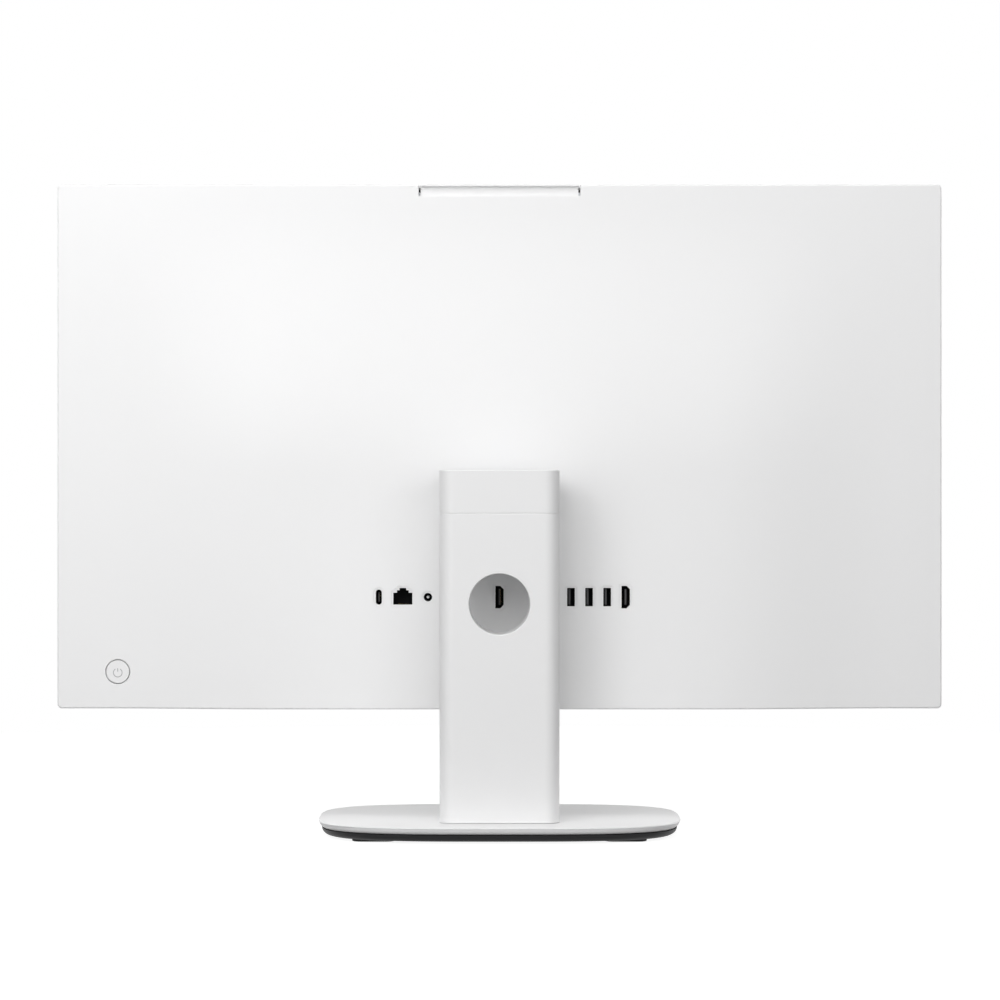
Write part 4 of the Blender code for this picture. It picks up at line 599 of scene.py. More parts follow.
def etched_board():
    """Solder mask over copper tracks: a maze of raised lines with pale pads."""
    tree, entry, result = new_group(
        "etched_board",
        [("Mask", "NodeSocketColor", (0.01, 0.07, 0.05, 1.0)),
         ("Track", "NodeSocketColor", (0.02, 0.13, 0.09, 1.0)),
         ("Pad", "NodeSocketColor", (0.62, 0.60, 0.52, 1.0)), ("Pitch", "NodeSocketFloat", TRACK_PITCH)],
        SURFACE_OUTPUTS)
    place = tree.nodes.new("ShaderNodeTexCoord").outputs["Object"]
    tracks = tree.nodes.new("ShaderNodeTexVoronoi")
    tracks.distance = "CHEBYCHEV"
    tracks.feature = "F1"
    tree.links.new(place, tracks.inputs["Vector"])
    tree.links.new(entry.outputs["Pitch"], tracks.inputs["Scale"])
    on_track = math_node(tree, "GREATER_THAN", tracks.outputs["Distance"], TRACK_START)
    on_pad = math_node(tree, "LESS_THAN", tracks.outputs["Distance"], PAD_END)
    masked = blended(tree, on_track, entry.outputs["Mask"], entry.outputs["Track"])
    colour = blended(tree, on_pad, masked, entry.outputs["Pad"])
    tree.links.new(colour, result.inputs["Color"])
    rough = spread(tree, on_pad, BOARD_ROUGHNESS, PAD_ROUGHNESS_DROP)
    tree.links.new(rough, result.inputs["Roughness"])
    tree.links.new(on_track, result.inputs["Height"])
    return tree


GRAIN = moulded_grain()
METAL = drawn_metal()
BOARD = etched_board()


def finish_material(name, group, values, bump, distance, metallic=0.0, **sockets):
    """A Principled material whose colour, roughness and relief come from a shared group."""
    material = bpy.data.materials.new(name)
    material.use_nodes = True
    tree = material.node_tree
    shader = tree.nodes["Principled BSDF"]
    effect = tree.nodes.new("ShaderNodeGroup")
    effect.node_tree = group
    for label, value in values.items():
        effect.inputs[label].default_value = value
    tree.links.new(effect.outputs["Color"], shader.inputs["Base Color"])
    tree.links.new(effect.outputs["Roughness"], shader.inputs["Roughness"])
    relief = tree.nodes.new("ShaderNodeBump")
    relief.inputs["Strength"].default_value = bump
    relief.inputs["Distance"].default_value = distance
    tree.links.new(effect.outputs["Height"], relief.inputs["Height"])
    tree.links.new(relief.outputs["Normal"], shader.inputs["Normal"])
    shader.inputs["Metallic"].default_value = metallic
    for label, value in sockets.items():
        shader.inputs[label.replace("_", " ")].default_value = value
    return material


def plastic(name, colour, roughness, grain=FINE_GRAIN, bump=0.12, tone=0.02, **sockets):
    """Moulded plastic, paint or rubber in one colour."""
    values = {"Color": (*colour, 1.0), "Grain": grain, "Tone Spread": tone, "Roughness": roughness}
    return finish_material(name, GRAIN, values, bump, GRAIN_DEPTH, **sockets)


def metal(name, colour, roughness, stretch=DRAWN_LINES):
    """Bare or plated metal."""
    values = {"Color": (*colour, 1.0), "Stretch": stretch, "Roughness": roughness}
    return finish_material(name, METAL, values, METAL_BUMP, METAL_DEPTH, metallic=1.0)


def board(name, mask, track):
    """Circuit board in one colour of solder mask."""
    values = {"Mask": (*mask, 1.0), "Track": (*track, 1.0)}
    return finish_material(name, BOARD, values, BOARD_BUMP, BOARD_DEPTH)


WHITE_SHELL = plastic("white_shell", (0.86, 0.86, 0.862), 0.45)
WHITE_COLUMN = plastic("white_column", (0.82, 0.82, 0.822), 0.45)
WHITE_BASE = plastic("white_base", (0.80, 0.80, 0.802), 0.45)
WHITE_KEY = plastic("white_key", (0.85, 0.85, 0.852), 0.48)
SYMBOL_INK = plastic("symbol_ink", (0.42, 0.42, 0.43), 0.6)
BLACK_PAINT = plastic(
    "black_powder_coat", (0.012, 0.012, 0.013), 0.5, grain=1100.0, bump=0.4, tone=0.2, Specular_IOR_Level=0.2)
BLACK_RUBBER = plastic("black_rubber", (0.014, 0.014, 0.015), 0.8, grain=2200.0, bump=0.3, tone=0.25)
BLACK_PLASTIC = plastic("black_plastic", (0.018, 0.018, 0.02), 0.5, grain=1800.0, bump=0.2, tone=0.2)
SOCKET_BLACK = plastic(
    "socket_black", (0.005, 0.005, 0.006), 0.6, grain=2200.0, bump=0.2, tone=0.2, Specular_IOR_Level=0.1)
TONGUE_GREY = plastic("tongue_grey", (0.035, 0.035, 0.037), 0.5, grain=2200.0, bump=0.2, tone=0.2)
STEEL = metal("zinc_plated_steel", (0.55, 0.56, 0.58), 0.34)
NICKEL = metal("nickel_plate", (0.60, 0.59, 0.56), 0.28)
# Darker copy of the nickel plate: painted shade on the pin deep inside the DC inlet
SHADED_PIN_NICKEL = metal("pin_nickel_painted_shade", (0.42, 0.42, 0.42), 0.42)
GOLD = metal("gold_contact", (0.83, 0.62, 0.28), 0.26)
COPPER = metal("bare_copper", (0.80, 0.42, 0.26), 0.30)
ALUMINIUM = metal("die_cast_aluminium", (0.74, 0.75, 0.77), 0.38, CAST_GRAIN)
TRAY_METAL = metal("tray_metal", (0.72, 0.73, 0.75), 0.36)
GREEN_BOARD = board("green_board", (0.010, 0.060, 0.042), (0.018, 0.11, 0.075))
SILICON = metal("polished_silicon", (0.20, 0.20, 0.22), 0.22)
SCREEN_BLACK = plastic(
    "screen_border_black", (0.006, 0.006, 0.007), 0.22, grain=3000.0, bump=0.02, tone=0.1)
SCREEN_GLASS = plastic(
    "screen_anti_glare", (0.010, 0.010, 0.012), 0.30, grain=3200.0, bump=0.05, tone=0.1)
LENS_GLASS = plastic("lens_glass", (0.008, 0.008, 0.012), 0.06, grain=400.0, bump=0.0, tone=0.3)


def swell(x, z):
    """Height of the rear cover's broad swelling over its flat border."""
    across = ramp((SWELL_FOOT_HALF - abs(x)) / (SWELL_FOOT_HALF - SWELL_FLAT_HALF))
    upward = ramp((SWELL_FADE_TOP - z) / (SWELL_FADE_TOP - SWELL_FLAT_TOP))
    return SWELL_RISE * across * upward


def cover_body(inset, front, steps):
    """Closed form of the rear cover: the swelling as a grid, square sides, and a flat front."""
    span = SWELL_FOOT_HALF - SWELL_FLAT_HALF
    right = [SWELL_FLAT_HALF + span * step / steps for step in range(steps + 1)] + [PANEL_SIDE - inset]
    columns = [-x for x in reversed(right)] + right
    rise = SWELL_FADE_TOP - SWELL_FLAT_TOP
    fade = [SWELL_FLAT_TOP + rise * step / steps for step in range(steps + 1)]
    rows = [PANEL_BOTTOM + inset] + fade + [PANEL_TOP - inset]
    shape = bmesh.new()
    back = [[shape.verts.new((x, PANEL_BACK - inset + swell(x, z), z)) for x in columns] for z in rows]
    for low, high in zip(back, back[1:]):
        for index in range(len(columns) - 1):
            shape.faces.new((low[index], low[index + 1], high[index + 1], high[index]))
    border = back[0] + [row[-1] for row in back[1:-1]] + back[-1][::-1] + [row[0] for row in back[-2:0:-1]]
    edge = [shape.verts.new((vertex.co.x, front, vertex.co.z)) for vertex in border]
    for index in range(len(border)):
        beside = (index + 1) % len(border)
        shape.faces.new((border[index], border[beside], edge[beside], edge[index]))
    shape.faces.new(edge)
    bmesh.ops.recalc_face_normals(shape, faces=shape.faces)
    return shape


def edge_runs_forward(edge):
    """Whether an edge runs from the cover's back to its front plane."""
    return abs(edge.verts[0].co.y - edge.verts[1].co.y) > PANEL_CORNER


def edge_lies_at_back(edge):
    """Whether both ends of an edge lie behind the cover's front plane."""
    return all(vertex.co.y > COVER_FRONT + SEAT_GAP for vertex in edge.verts)


def rounded_back(shape):
    """Round the four corners, then the edges between the back and the sides."""
    for radius, wanted in ((PANEL_CORNER, edge_runs_forward), (PANEL_EDGE, edge_lies_at_back)):
        sharp = [edge for edge in shape.edges
                 if edge.calc_face_angle() > math.radians(COVER_ROUND_ANGLE) and wanted(edge)]
        bmesh.ops.bevel(shape, geom=sharp, offset=radius, segments=EDGE_STEPS, profile=0.5, affect="EDGES")
    return shape


def usb_a_outline(grow):
    """Opening of a USB-A socket, upright, with tiny round corners."""
    width = USB_A_WIDTH + 2 * grow
    length = USB_A_LENGTH + 2 * grow
    return rounded_rectangle(width, length, USB_A_CORNER + grow, USB_A_CORNER_STEPS)


def usb_c_outline(grow):
    """Opening of a USB-C socket, upright."""
    return stadium(USB_C_WIDTH + 2 * grow, USB_C_LENGTH + 2 * grow)


def hdmi_outline(grow):
    """Opening of an HDMI socket, upright, with its two slanted corners towards -X."""
    side = HDMI_WIDTH / 2 + grow
    end = HDMI_LENGTH / 2 + grow
    return [
        (side, -end), (side, end), (HDMI_SLANT - side, end), (-side, end - HDMI_SLANT),
        (-side, HDMI_SLANT - end), (HDMI_SLANT - side, -end),
    ]


def ethernet_outline(grow):
    """Opening of a network socket, with the two steps of its latch upwards."""
    side = NETWORK_WIDTH / 2 + grow
    step = NETWORK_STEP_WIDTH / 2 + grow
    tab = NETWORK_TAB_WIDTH / 2 + grow
    low = -NETWORK_DROP - grow
    shoulder = low + NETWORK_HEIGHT + 2 * grow
    neck = shoulder + NETWORK_STEP_HEIGHT
    top = neck + NETWORK_TAB_HEIGHT
    return [
        (-side, low), (side, low), (side, shoulder), (step, shoulder), (step, neck), (tab, neck),
        (tab, top), (-tab, top), (-tab, neck), (-step, neck), (-step, shoulder), (-side, shoulder),
    ]


def dc_outline(grow):
    """Opening of the DC inlet."""
    return circle(DC_RADIUS + grow, DC_STEPS)


PORTS = (
    ("usb_c_port", usb_c_outline), ("ethernet_jack", ethernet_outline), ("dc_inlet", dc_outline),
    ("hdmi_port_center", hdmi_outline), ("hdmi_port_side", hdmi_outline),
    ("usb_a_port_1", usb_a_outline), ("usb_a_port_2", usb_a_outline), ("usb_a_port_3", usb_a_outline),
)
TONGUES = {usb_a_outline: USB_A_TONGUE, hdmi_outline: HDMI_TONGUE, usb_c_outline: USB_C_TONGUE}


def port_place(name):
    """Middle of a socket, in X and Z."""
    low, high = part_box(name)
    return (low.x + high.x) / 2, (low.z + high.z) / 2


def port_cutter(outline, place):
    """Opening through the cover with a shallow grooved recess round it, and softened mouths."""
    sections = [(outline(PORT_ROOM), SWELL_BACK - COVER_WALL - OVERRUN)]
    floor = SWELL_BACK - PORT_RIM_DEPTH
    for grow, drop in rounding(PORT_MOUTH_ROUND, PORT_MOUTH_STEPS):
        sections.append((outline(PORT_ROOM + grow), floor - drop))
    groove_start = PORT_RIM - PORT_GROOVE_WIDTH
    groove = ((groove_start, 0.0), (groove_start, PORT_GROOVE_DEPTH), (PORT_RIM, PORT_GROOVE_DEPTH))
    for reach, drop in groove:
        sections.append((outline(reach), floor - drop))
    for grow, drop in rounding(PORT_MOUTH_ROUND, PORT_MOUTH_STEPS):
        sections.append((outline(PORT_RIM + grow), SWELL_BACK - drop))
    sections.append((outline(PORT_RIM + PORT_MOUTH_ROUND), SWELL_BACK + OVERRUN))
    return loft([(moved(points, *place), depth) for points, depth in sections], "Y")


def vent_slots():
    """Rows of slots through the bottom and top walls of the rear cover, left and right of the middle."""
    slots = []
    for level, offset, middle, length in VENT_ROWS:
        z_span = (level - COVER_WALL - OVERRUN, level + COVER_WALL + OVERRUN)
        for side in (-1, 1):
            for index in range(VENT_COUNT):
                x = side * offset + (index - (VENT_COUNT - 1) / 2) * VENT_PITCH
                slots.append(sweep(moved(stadium(VENT_WIDTH, length, VENT_STEPS), x, middle), "Z", *z_span))
    return gathered(slots)


def scoop_groove(side):
    """Narrow groove at one end of the finger pocket, flared at its mouth."""
    bottom = PANEL_BACK - SCOOP_GROOVE_DEPTH
    mouth = NOTCH_HALF + SCOOP_GROOVE_FLARE
    outline = [
        (LIP_HALF, bottom), (NOTCH_HALF, bottom), (NOTCH_HALF, PANEL_BACK - SCOOP_GROOVE_FLARE),
        (mouth, PANEL_BACK), (mouth, PANEL_BACK + OVERRUN), (LIP_HALF, PANEL_BACK + OVERRUN),
    ]
    outline = [(side * across, along) for across, along in outline]
    return sweep(outline, "Z", PANEL_TOP - SCOOP_GROOVE_LENGTH, PANEL_TOP)


def build_rear_cover():
    """The moulded shell behind the display, with its openings."""
    cover = new_object("rear_cover_shell", rounded_back(cover_body(0.0, COVER_FRONT, SWELL_STEPS)))
    cut(cover, cover_body(COVER_WALL, COVER_FRONT - OVERRUN, SWELL_INSIDE_STEPS))
    backing_half = NOTCH_HALF + OVERRUN
    backing_y = (SCOOP_FRONT, PANEL_BACK - COVER_WALL / 2)
    backing_z = (SCOOP_BOTTOM - OVERRUN, PANEL_TOP - COVER_WALL / 2)
    join(cover, block((-backing_half, backing_half), backing_y, backing_z))
    slide_front = CAMERA_LOW.y - SEAT_GAP
    notch_y = (slide_front, PANEL_BACK + OVERRUN)
    cut(cover, block((-NOTCH_HALF, NOTCH_HALF), notch_y, (LIP_BOTTOM - SEAT_GAP, PANEL_TOP + OVERRUN)))
    slot_half = BODY_HALF + SEAT_GAP
    slot_z = (PANEL_TOP - COVER_WALL - OVERRUN, PANEL_TOP + OVERRUN)
    cut(cover, block((-slot_half, slot_half), (slide_front, SCOOP_FRONT), slot_z))
    scoop_y = (PANEL_BACK - SCOOP_DEPTH, PANEL_BACK + OVERRUN)
    cut(cover, block((-NOTCH_HALF, NOTCH_HALF), scoop_y, (SCOOP_BOTTOM, PANEL_TOP + OVERRUN)))
    cut(cover, gathered([scoop_groove(side) for side in (-1, 1)]))
    cut(cover, gathered([port_cutter(outline, port_place(name)) for name, outline in PORTS]))
    neck_half = ARM_NECK_HALF + ARM_ROOM
    neck_y = (SWELL_BACK - COVER_WALL - OVERRUN, SWELL_BACK + OVERRUN)
    neck_z = (AXIS_Z - ARM_NECK_RISE - ARM_ROOM, AXIS_Z + ARM_NECK_RISE + ARM_ROOM)
    cut(cover, block((-neck_half, neck_half), neck_y, neck_z))
    ring = BUTTON_RADIUS + BUTTON_RING
    profile = [(PANEL_BACK - COVER_WALL - OVERRUN, ring)]
    for grow, drop in rounding(PORT_MOUTH_ROUND, PORT_MOUTH_STEPS):
        profile.append((PANEL_BACK - drop, ring + grow))
    profile.append((PANEL_BACK + OVERRUN, ring + PORT_MOUTH_ROUND))
    cut(cover, turned(profile, "Y", (BUTTON_X, BUTTON_Z)))
    cut(cover, vent_slots())
    finished(cover, "display", ["rear_cover"], [WHITE_SHELL])


def build_bezel():
    """Front frame of the display with its chin."""
    middle_z = (BEZEL_LOW.z + BEZEL_HIGH.z) / 2
    width = BEZEL_HIGH.x - BEZEL_LOW.x
    height = BEZEL_HIGH.z - BEZEL_LOW.z
    sections = []
    for inset, drop in reversed(rounding(BEZEL_ROUND)):
        outline = rounded_rectangle(width - 2 * inset, height - 2 * inset, PANEL_CORNER - inset)
        sections.append((moved(outline, 0.0, middle_z), BEZEL_LOW.y + drop))
    sections.append((moved(rounded_rectangle(width, height, PANEL_CORNER), 0.0, middle_z), BEZEL_HIGH.y))
    bezel = new_object("front_frame", loft(sections, "Y"))
    inner_side = PANEL_SIDE - BEZEL_RIM
    whole_y = (BEZEL_LOW.y - OVERRUN, BEZEL_HIGH.y + OVERRUN)
    cut(bezel, block((-inner_side, inner_side), whole_y, (CHIN_TOP, PANEL_TOP - BEZEL_RIM)))
    pocket_z = (PANEL_BOTTOM + BEZEL_RIM, CHIN_TOP - BEZEL_RIM)
    cut(bezel, block((-inner_side, inner_side), (BEZEL_LOW.y + BEZEL_FACE, whole_y[1]), pocket_z))
    finished(bezel, "display", ["front_bezel"], [WHITE_SHELL])


def build_screen():
    """Display panel with a black border round its anti-glare face."""
    x_span = (SCREEN_LOW.x, SCREEN_HIGH.x)
    z_span = (SCREEN_LOW.z, SCREEN_HIGH.z)
    shape = soft_block(x_span, (SCREEN_LOW.y, SCREEN_HIGH.y), z_span, SCREEN_EDGE)
    face = min(shape.faces, key=lambda item: item.calc_center_median().y)
    bmesh.ops.inset_region(shape, faces=[face], thickness=SCREEN_BORDER, depth=0.0)
    face.material_index = 1
    screen = new_object("screen", shape)
    finished(screen, "display", ["display_panel"], [SCREEN_BLACK, SCREEN_GLASS])


def lip_cove():
    """Hollow underside of the lip, which a fingernail hooks behind."""
    mouth = PANEL_BACK - LIP_ROUND
    root = PANEL_BACK - SCOOP_DEPTH + SEAT_GAP / 2
    top = LIP_BOTTOM + LIP_ROUND
    outline = [(root, LIP_BOTTOM - LIP_COVE_HEIGHT), (root, top), (mouth, top)]
    for step in range(CORNER_STEPS + 1):
        turn = math.pi / 2 * (1 - step / CORNER_STEPS)
        drop = LIP_COVE_HEIGHT * (1 - math.sin(turn))
        outline.append((mouth - LIP_COVE_REACH * math.cos(turn), LIP_BOTTOM - drop))
    return sweep(outline, "X", LIP_ROUND - LIP_HALF, LIP_HALF - LIP_ROUND)


def window_outline(grow):
    """Outline of the camera's window in its place, drawn out by a growth."""
    width = WINDOW_HIGH.x - WINDOW_LOW.x + 2 * grow
    height = WINDOW_HIGH.z - WINDOW_LOW.z + 2 * grow
    return moved(rounded_rectangle(width, height, WINDOW_CORNER + grow), 0.0, WINDOW_Z)


def build_pull_camera():
    """Pull-up camera body with its lip, its rail grooves and the pocket of its window."""
    front = CAMERA_LOW.y
    back = SCOOP_FRONT - SEAT_GAP
    bottom = CAMERA_LOW.z
    slider = soft_block((-BODY_HALF, BODY_HALF), (front, back), (bottom, PANEL_TOP), CAMERA_EDGE)
    body = new_object("camera_slider", slider)
    lip_z = (LIP_BOTTOM, PANEL_TOP)
    lip = soft_block((-LIP_HALF, LIP_HALF), (front, PANEL_BACK), lip_z, LIP_ROUND, LIP_ROUND_STEPS)
    join(body, lip, lip_cove())
    middle = (front + back) / 2
    groove_y = (middle - RAIL_GROOVE_HALF, middle + RAIL_GROOVE_HALF)
    for side in (-1, 1):
        ends = sorted((side * (BODY_HALF - RAIL_GROOVE_REACH), side * (BODY_HALF + OVERRUN)))
        cut(body, block(ends, groove_y, (bottom - OVERRUN, SCOOP_BOTTOM)))
    cut(body, sweep(window_outline(SEAT_GAP), "Y", front - OVERRUN, WINDOW_HIGH.y + SEAT_GAP))
    finished(body, "camera", ["camera_body"], [WHITE_SHELL])


def build_camera_window():
    """Dark window of the camera with its pinholes, and the lens in a well in it."""
    face = WINDOW_LOW.y
    sections = []
    for inset, drop in reversed(rounding(WINDOW_EDGE, WINDOW_EDGE_STEPS)):
        sections.append((window_outline(-inset), face + drop))
    sections.append((window_outline(0.0), WINDOW_HIGH.y))
    window = new_object("camera_glass", loft(sections, "Y"))
    well = [(face - OVERRUN, LENS_WELL_MOUTH), (face + LENS_WELL_DEPTH, LENS_WELL_FLOOR)]
    cut(window, turned(well, "Y", (0.0, WINDOW_Z), LENS_STEPS))
    pinholes = []
    for x in PINHOLE_PLACES:
        outline = moved(circle(PINHOLE_RADIUS, PINHOLE_STEPS), x, WINDOW_Z)
        pinholes.append(sweep(outline, "Y", face - OVERRUN, face + PINHOLE_DEPTH))
    cut(window, gathered(pinholes))
    finished(window, "camera", ["camera_window"], [SCREEN_BLACK])

    dome = [(face + depth, radius) for depth, radius in LENS_PROFILE]
    lens = new_object("camera_lens", turned(dome, "Y", (0.0, WINDOW_Z), LENS_STEPS))
    finished(lens, "camera", [], [LENS_GLASS])


def build_button():
    """Round power button with its symbol."""
    flange_back = PANEL_BACK - COVER_WALL - SEAT_GAP
    flange_front = flange_back - BUTTON_FLANGE_THICK
    flange_radius = BUTTON_RADIUS + BUTTON_RING + BUTTON_FLANGE_REACH
    profile = [
        (BUTTON_LOW.y, BUTTON_STEM), (flange_front, BUTTON_STEM), (flange_front, flange_radius),
        (flange_back, flange_radius), (flange_back, BUTTON_RADIUS),
    ]
    for inset, drop in rounding(BUTTON_ROUND):
        profile.append((PANEL_BACK - drop, BUTTON_RADIUS - inset))
    button = new_object("button_cap", turned(profile, "Y", (BUTTON_X, BUTTON_Z)))
    finished(button, "button", ["power_button"], [WHITE_KEY])

    inner = SYMBOL_RADIUS - SYMBOL_LINE / 2
    outer = SYMBOL_RADIUS + SYMBOL_LINE / 2
    start = math.pi / 2 + SYMBOL_OPEN
    arc = 2 * math.pi - 2 * SYMBOL_OPEN
    turns = [start + arc * step / SYMBOL_STEPS for step in range(SYMBOL_STEPS + 1)]
    ring = [(outer * math.cos(turn), outer * math.sin(turn)) for turn in turns]
    ring += [(inner * math.cos(turn), inner * math.sin(turn)) for turn in reversed(turns)]
    bar = rectangle(-SYMBOL_LINE / 2, SYMBOL_LINE / 2, SYMBOL_BAR_LOW, SYMBOL_RADIUS)
    shapes = []
    for outline in (ring, bar):
        placed = moved(outline, BUTTON_X, BUTTON_Z - SYMBOL_DROP)
        shapes.append(sweep(placed, "Y", PANEL_BACK - SYMBOL_RISE, PANEL_BACK + SYMBOL_RISE))
    symbol = new_object("power_symbol", gathered(shapes))
    finished(symbol, "button", [], [SYMBOL_INK])


def tongue_with_contacts(place, back, face, tongue):
    """Plastic tongue of a socket with gold contacts along its -X side."""
    left, right, half, count = tongue
    x_span = (place[0] + left, place[0] + right)
    y_span = (back, face - TONGUE_SETBACK)
    z_span = (place[1] - half, place[1] + half)
    shapes = [painted(soft_block(x_span, y_span, z_span, TONGUE_EDGE), SOCKET_TONGUE)]
    contact_x = (x_span[0] - CONTACT_RISE, x_span[0])
    contact_y = (y_span[0] + CONTACT_INSET, y_span[1] - CONTACT_SETBACK)
    pitch = (z_span[1] - z_span[0]) / count
    for index in range(count):
        middle = z_span[0] + pitch * (index + 0.5)
        contact_z = (middle - pitch * CONTACT_SHARE, middle + pitch * CONTACT_SHARE)
        shapes.append(painted(block(contact_x, contact_y, contact_z), SOCKET_PIN))
    return shapes


def centre_pin(place, back, face):
    """Round pin of the DC inlet, tapered at its tip."""
    profile = [
        (back, DC_PIN_RADIUS), (face - DC_PIN_SHOULDER, DC_PIN_RADIUS), (face - DC_PIN_SETBACK, DC_PIN_TIP),
    ]
    return [painted(turned(profile, "Y", place, DC_PIN_STEPS), SOCKET_PIN)]


def contact_wires(place, back, face):
    """Flat wires along the floor of the network socket."""
    y_span = (back, face - WIRE_SETBACK)
    z_span = (place[1] + WIRE_BOTTOM, place[1] + WIRE_TOP)
    shapes = []
    for index in range(WIRE_COUNT):
        x = place[0] + (index - (WIRE_COUNT - 1) / 2) * WIRE_PITCH
        shapes.append(painted(block((x - WIRE_HALF, x + WIRE_HALF), y_span, z_span), SOCKET_PIN))
    return shapes


def socket_inside(outline, place, back, face):
    """Tongue, pin or wires of a socket, from the bottom of its opening to near its face."""
    if outline is dc_outline:
        return centre_pin(place, back, face)
    if outline is ethernet_outline:
        return contact_wires(place, back, face)
    return tongue_with_contacts(place, back, face, TONGUES[outline])


def build_ports():
    """Sockets with their shells, tongues, pins and contacts; the inside of each opening is black, partly
    painted shade.
    """
    for name, outline in PORTS:
        low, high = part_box(name)
        x, z = port_place(name)
        face = high.y
        floor = low.y + PORT_FLOOR
        across, upward = zip(*outline(PORT_WALL))
        spans = ((x + min(across), x + max(across)), (low.y, face), (z + min(upward), z + max(upward)))
        socket = new_object(name + "_socket", soft_block(*spans, PORT_EDGE))
        mouth = [
            (outline(0.0), floor), (outline(0.0), face - PORT_EDGE), (outline(PORT_EDGE), face + PORT_EDGE),
        ]
        cut(socket, loft([(moved(points, x, z), depth) for points, depth in mouth], "Y"))
        # Faces inside the opening take the socket black: real plastic on the floor and in the black sockets,
        # painted shade on the nickel shells' inner walls
        for polygon in socket.data.polygons:
            within = all(span[0] + PORT_EDGE < middle < span[1] - PORT_EDGE
                         for middle, span in zip(polygon.center, spans))
            polygon.material_index = SOCKET_INSIDE_SHADE_AND_PLASTIC if within else SOCKET_SHELL
        body = bmesh.new()
        body.from_mesh(socket.data)
        whole = gathered([body, *socket_inside(outline, (x, z), floor + INSIDE_SEAT, face)])
        whole.to_mesh(socket.data)
        whole.free()
        dark = outline in (ethernet_outline, dc_outline)
        shell = SOCKET_BLACK if dark else NICKEL
        pin = SHADED_PIN_NICKEL if outline is dc_outline else GOLD
        finished(socket, "display", [name], [shell, SOCKET_BLACK, TONGUE_GREY, pin])


def column_outline(inset):
    """Plan of the column, drawn in by an inset."""
    width = COLUMN_WIDTH - 2 * inset
    depth = COLUMN_DEPTH - 2 * inset
    outline = rounded_rectangle(width, depth, COLUMN_CORNER - inset, COLUMN_CORNER_STEPS)
    return moved(outline, 0.0, COLUMN_MIDDLE)


def column_solid(low, high, low_round, high_round):
    """Full column between two heights with round end edges."""
    sections = []
    for inset, drop in reversed(rounding(low_round)):
        sections.append((column_outline(inset), low + drop))
    for inset, drop in rounding(high_round):
        sections.append((column_outline(inset), high - drop))
    return loft(sections, "Z")


def hole_cutter():
    """Cable hole through the column, flared at both mouths."""
    profile = [(CAP_LOW.y - OVERRUN, HOLE_RADIUS + HOLE_ROUND)]
    for grow, drop in reversed(rounding(HOLE_ROUND)):
        profile.append((CAP_LOW.y + drop, HOLE_RADIUS + grow))
    for grow, drop in rounding(HOLE_ROUND):
        profile.append((CAP_HIGH.y - drop, HOLE_RADIUS + grow))
    profile.append((CAP_HIGH.y + OVERRUN, HOLE_RADIUS + HOLE_ROUND))
    return turned(profile, "Y", (0.0, HOLE_Z))


def build_column():
    """The column's two shells, the sleeve of its cable hole and the hinge cap."""
    low = SHELL_LOW.z
    high = SHELL_HIGH.z
    for name, node, cut_span in (
            ("column_back", "column_rear_shell", (CAP_LOW.y - OVERRUN, SHELL_LOW.y)),
            ("column_front", "column_front_shell", (FRONT_SHELL_HIGH.y, CAP_HIGH.y + OVERRUN))):
        shell = new_object(name, column_solid(low, high, COLUMN_FOOT_EDGE, COLUMN_EDGE))
        cut(shell, sweep(column_outline(COLUMN_WALL), "Z", low - OVERRUN, high + OVERRUN))
        cut(shell, block((-COLUMN_WIDTH, COLUMN_WIDTH), cut_span, (low - OVERRUN, high + OVERRUN)))
        cut(shell, hole_cutter())
        finished(shell, "stand", [node], [WHITE_COLUMN])

    outer = moved(circle(HOLE_RADIUS + SLEEVE_WALL), 0.0, HOLE_Z)
    inner = moved(circle(HOLE_RADIUS), 0.0, HOLE_Z)
    front = SLEEVE_LOW.y
    rear = SLEEVE_HIGH.y
    sleeve = loft([(outer, front), (outer, rear), (inner, rear), (inner, front)], "Y", closed=True)
    finished(new_object("cable_tunnel", sleeve), "stand", ["cable_sleeve"], [WHITE_COLUMN])

    cap = new_object("column_cap", column_solid(CAP_LOW.z, CAP_HIGH.z, COLUMN_EDGE, CAP_ROUND))
    skirt_z = (SHELL_HIGH.z, (CAP_LOW.z + CAP_HIGH.z) / 2)
    join(cap, sweep(column_outline(CAP_SKIRT_INSET), "Z", *skirt_z))
    cut(cap, sweep(column_outline(COLUMN_WALL), "Z", CAP_LOW.z - OVERRUN, CAP_HIGH.z - COLUMN_WALL))
    mouth_half = ARM_NECK_HALF + ARM_ROOM
    mouth_y = (CAP_LOW.y - OVERRUN, CAP_LOW.y + COLUMN_WALL + OVERRUN)
    cut(cap, block((-mouth_half, mouth_half), mouth_y, (CAP_LOW.z - OVERRUN, CAP_HIGH.z - COLUMN_WALL)))
    finished(cap, "stand", ["hinge_cap"], [WHITE_COLUMN])


def base_outline(inset):
    """Plan of the base, between an ellipse and a rectangle, drawn in by an inset."""
    half_width = (BASE_HIGH.x - BASE_LOW.x) / 2 - inset
    half_depth = (BASE_HIGH.y - BASE_LOW.y) / 2 - inset
    points = []
    for step in range(BASE_OUTLINE_STEPS):
        turn = 2 * math.pi * step / BASE_OUTLINE_STEPS
        shares = []
        for share in (math.cos(turn), math.sin(turn)):
            shares.append(math.copysign(abs(share) ** (2 / BASE_SQUARENESS), share))
        points.append((half_width * shares[0], half_depth * shares[1]))
    return points


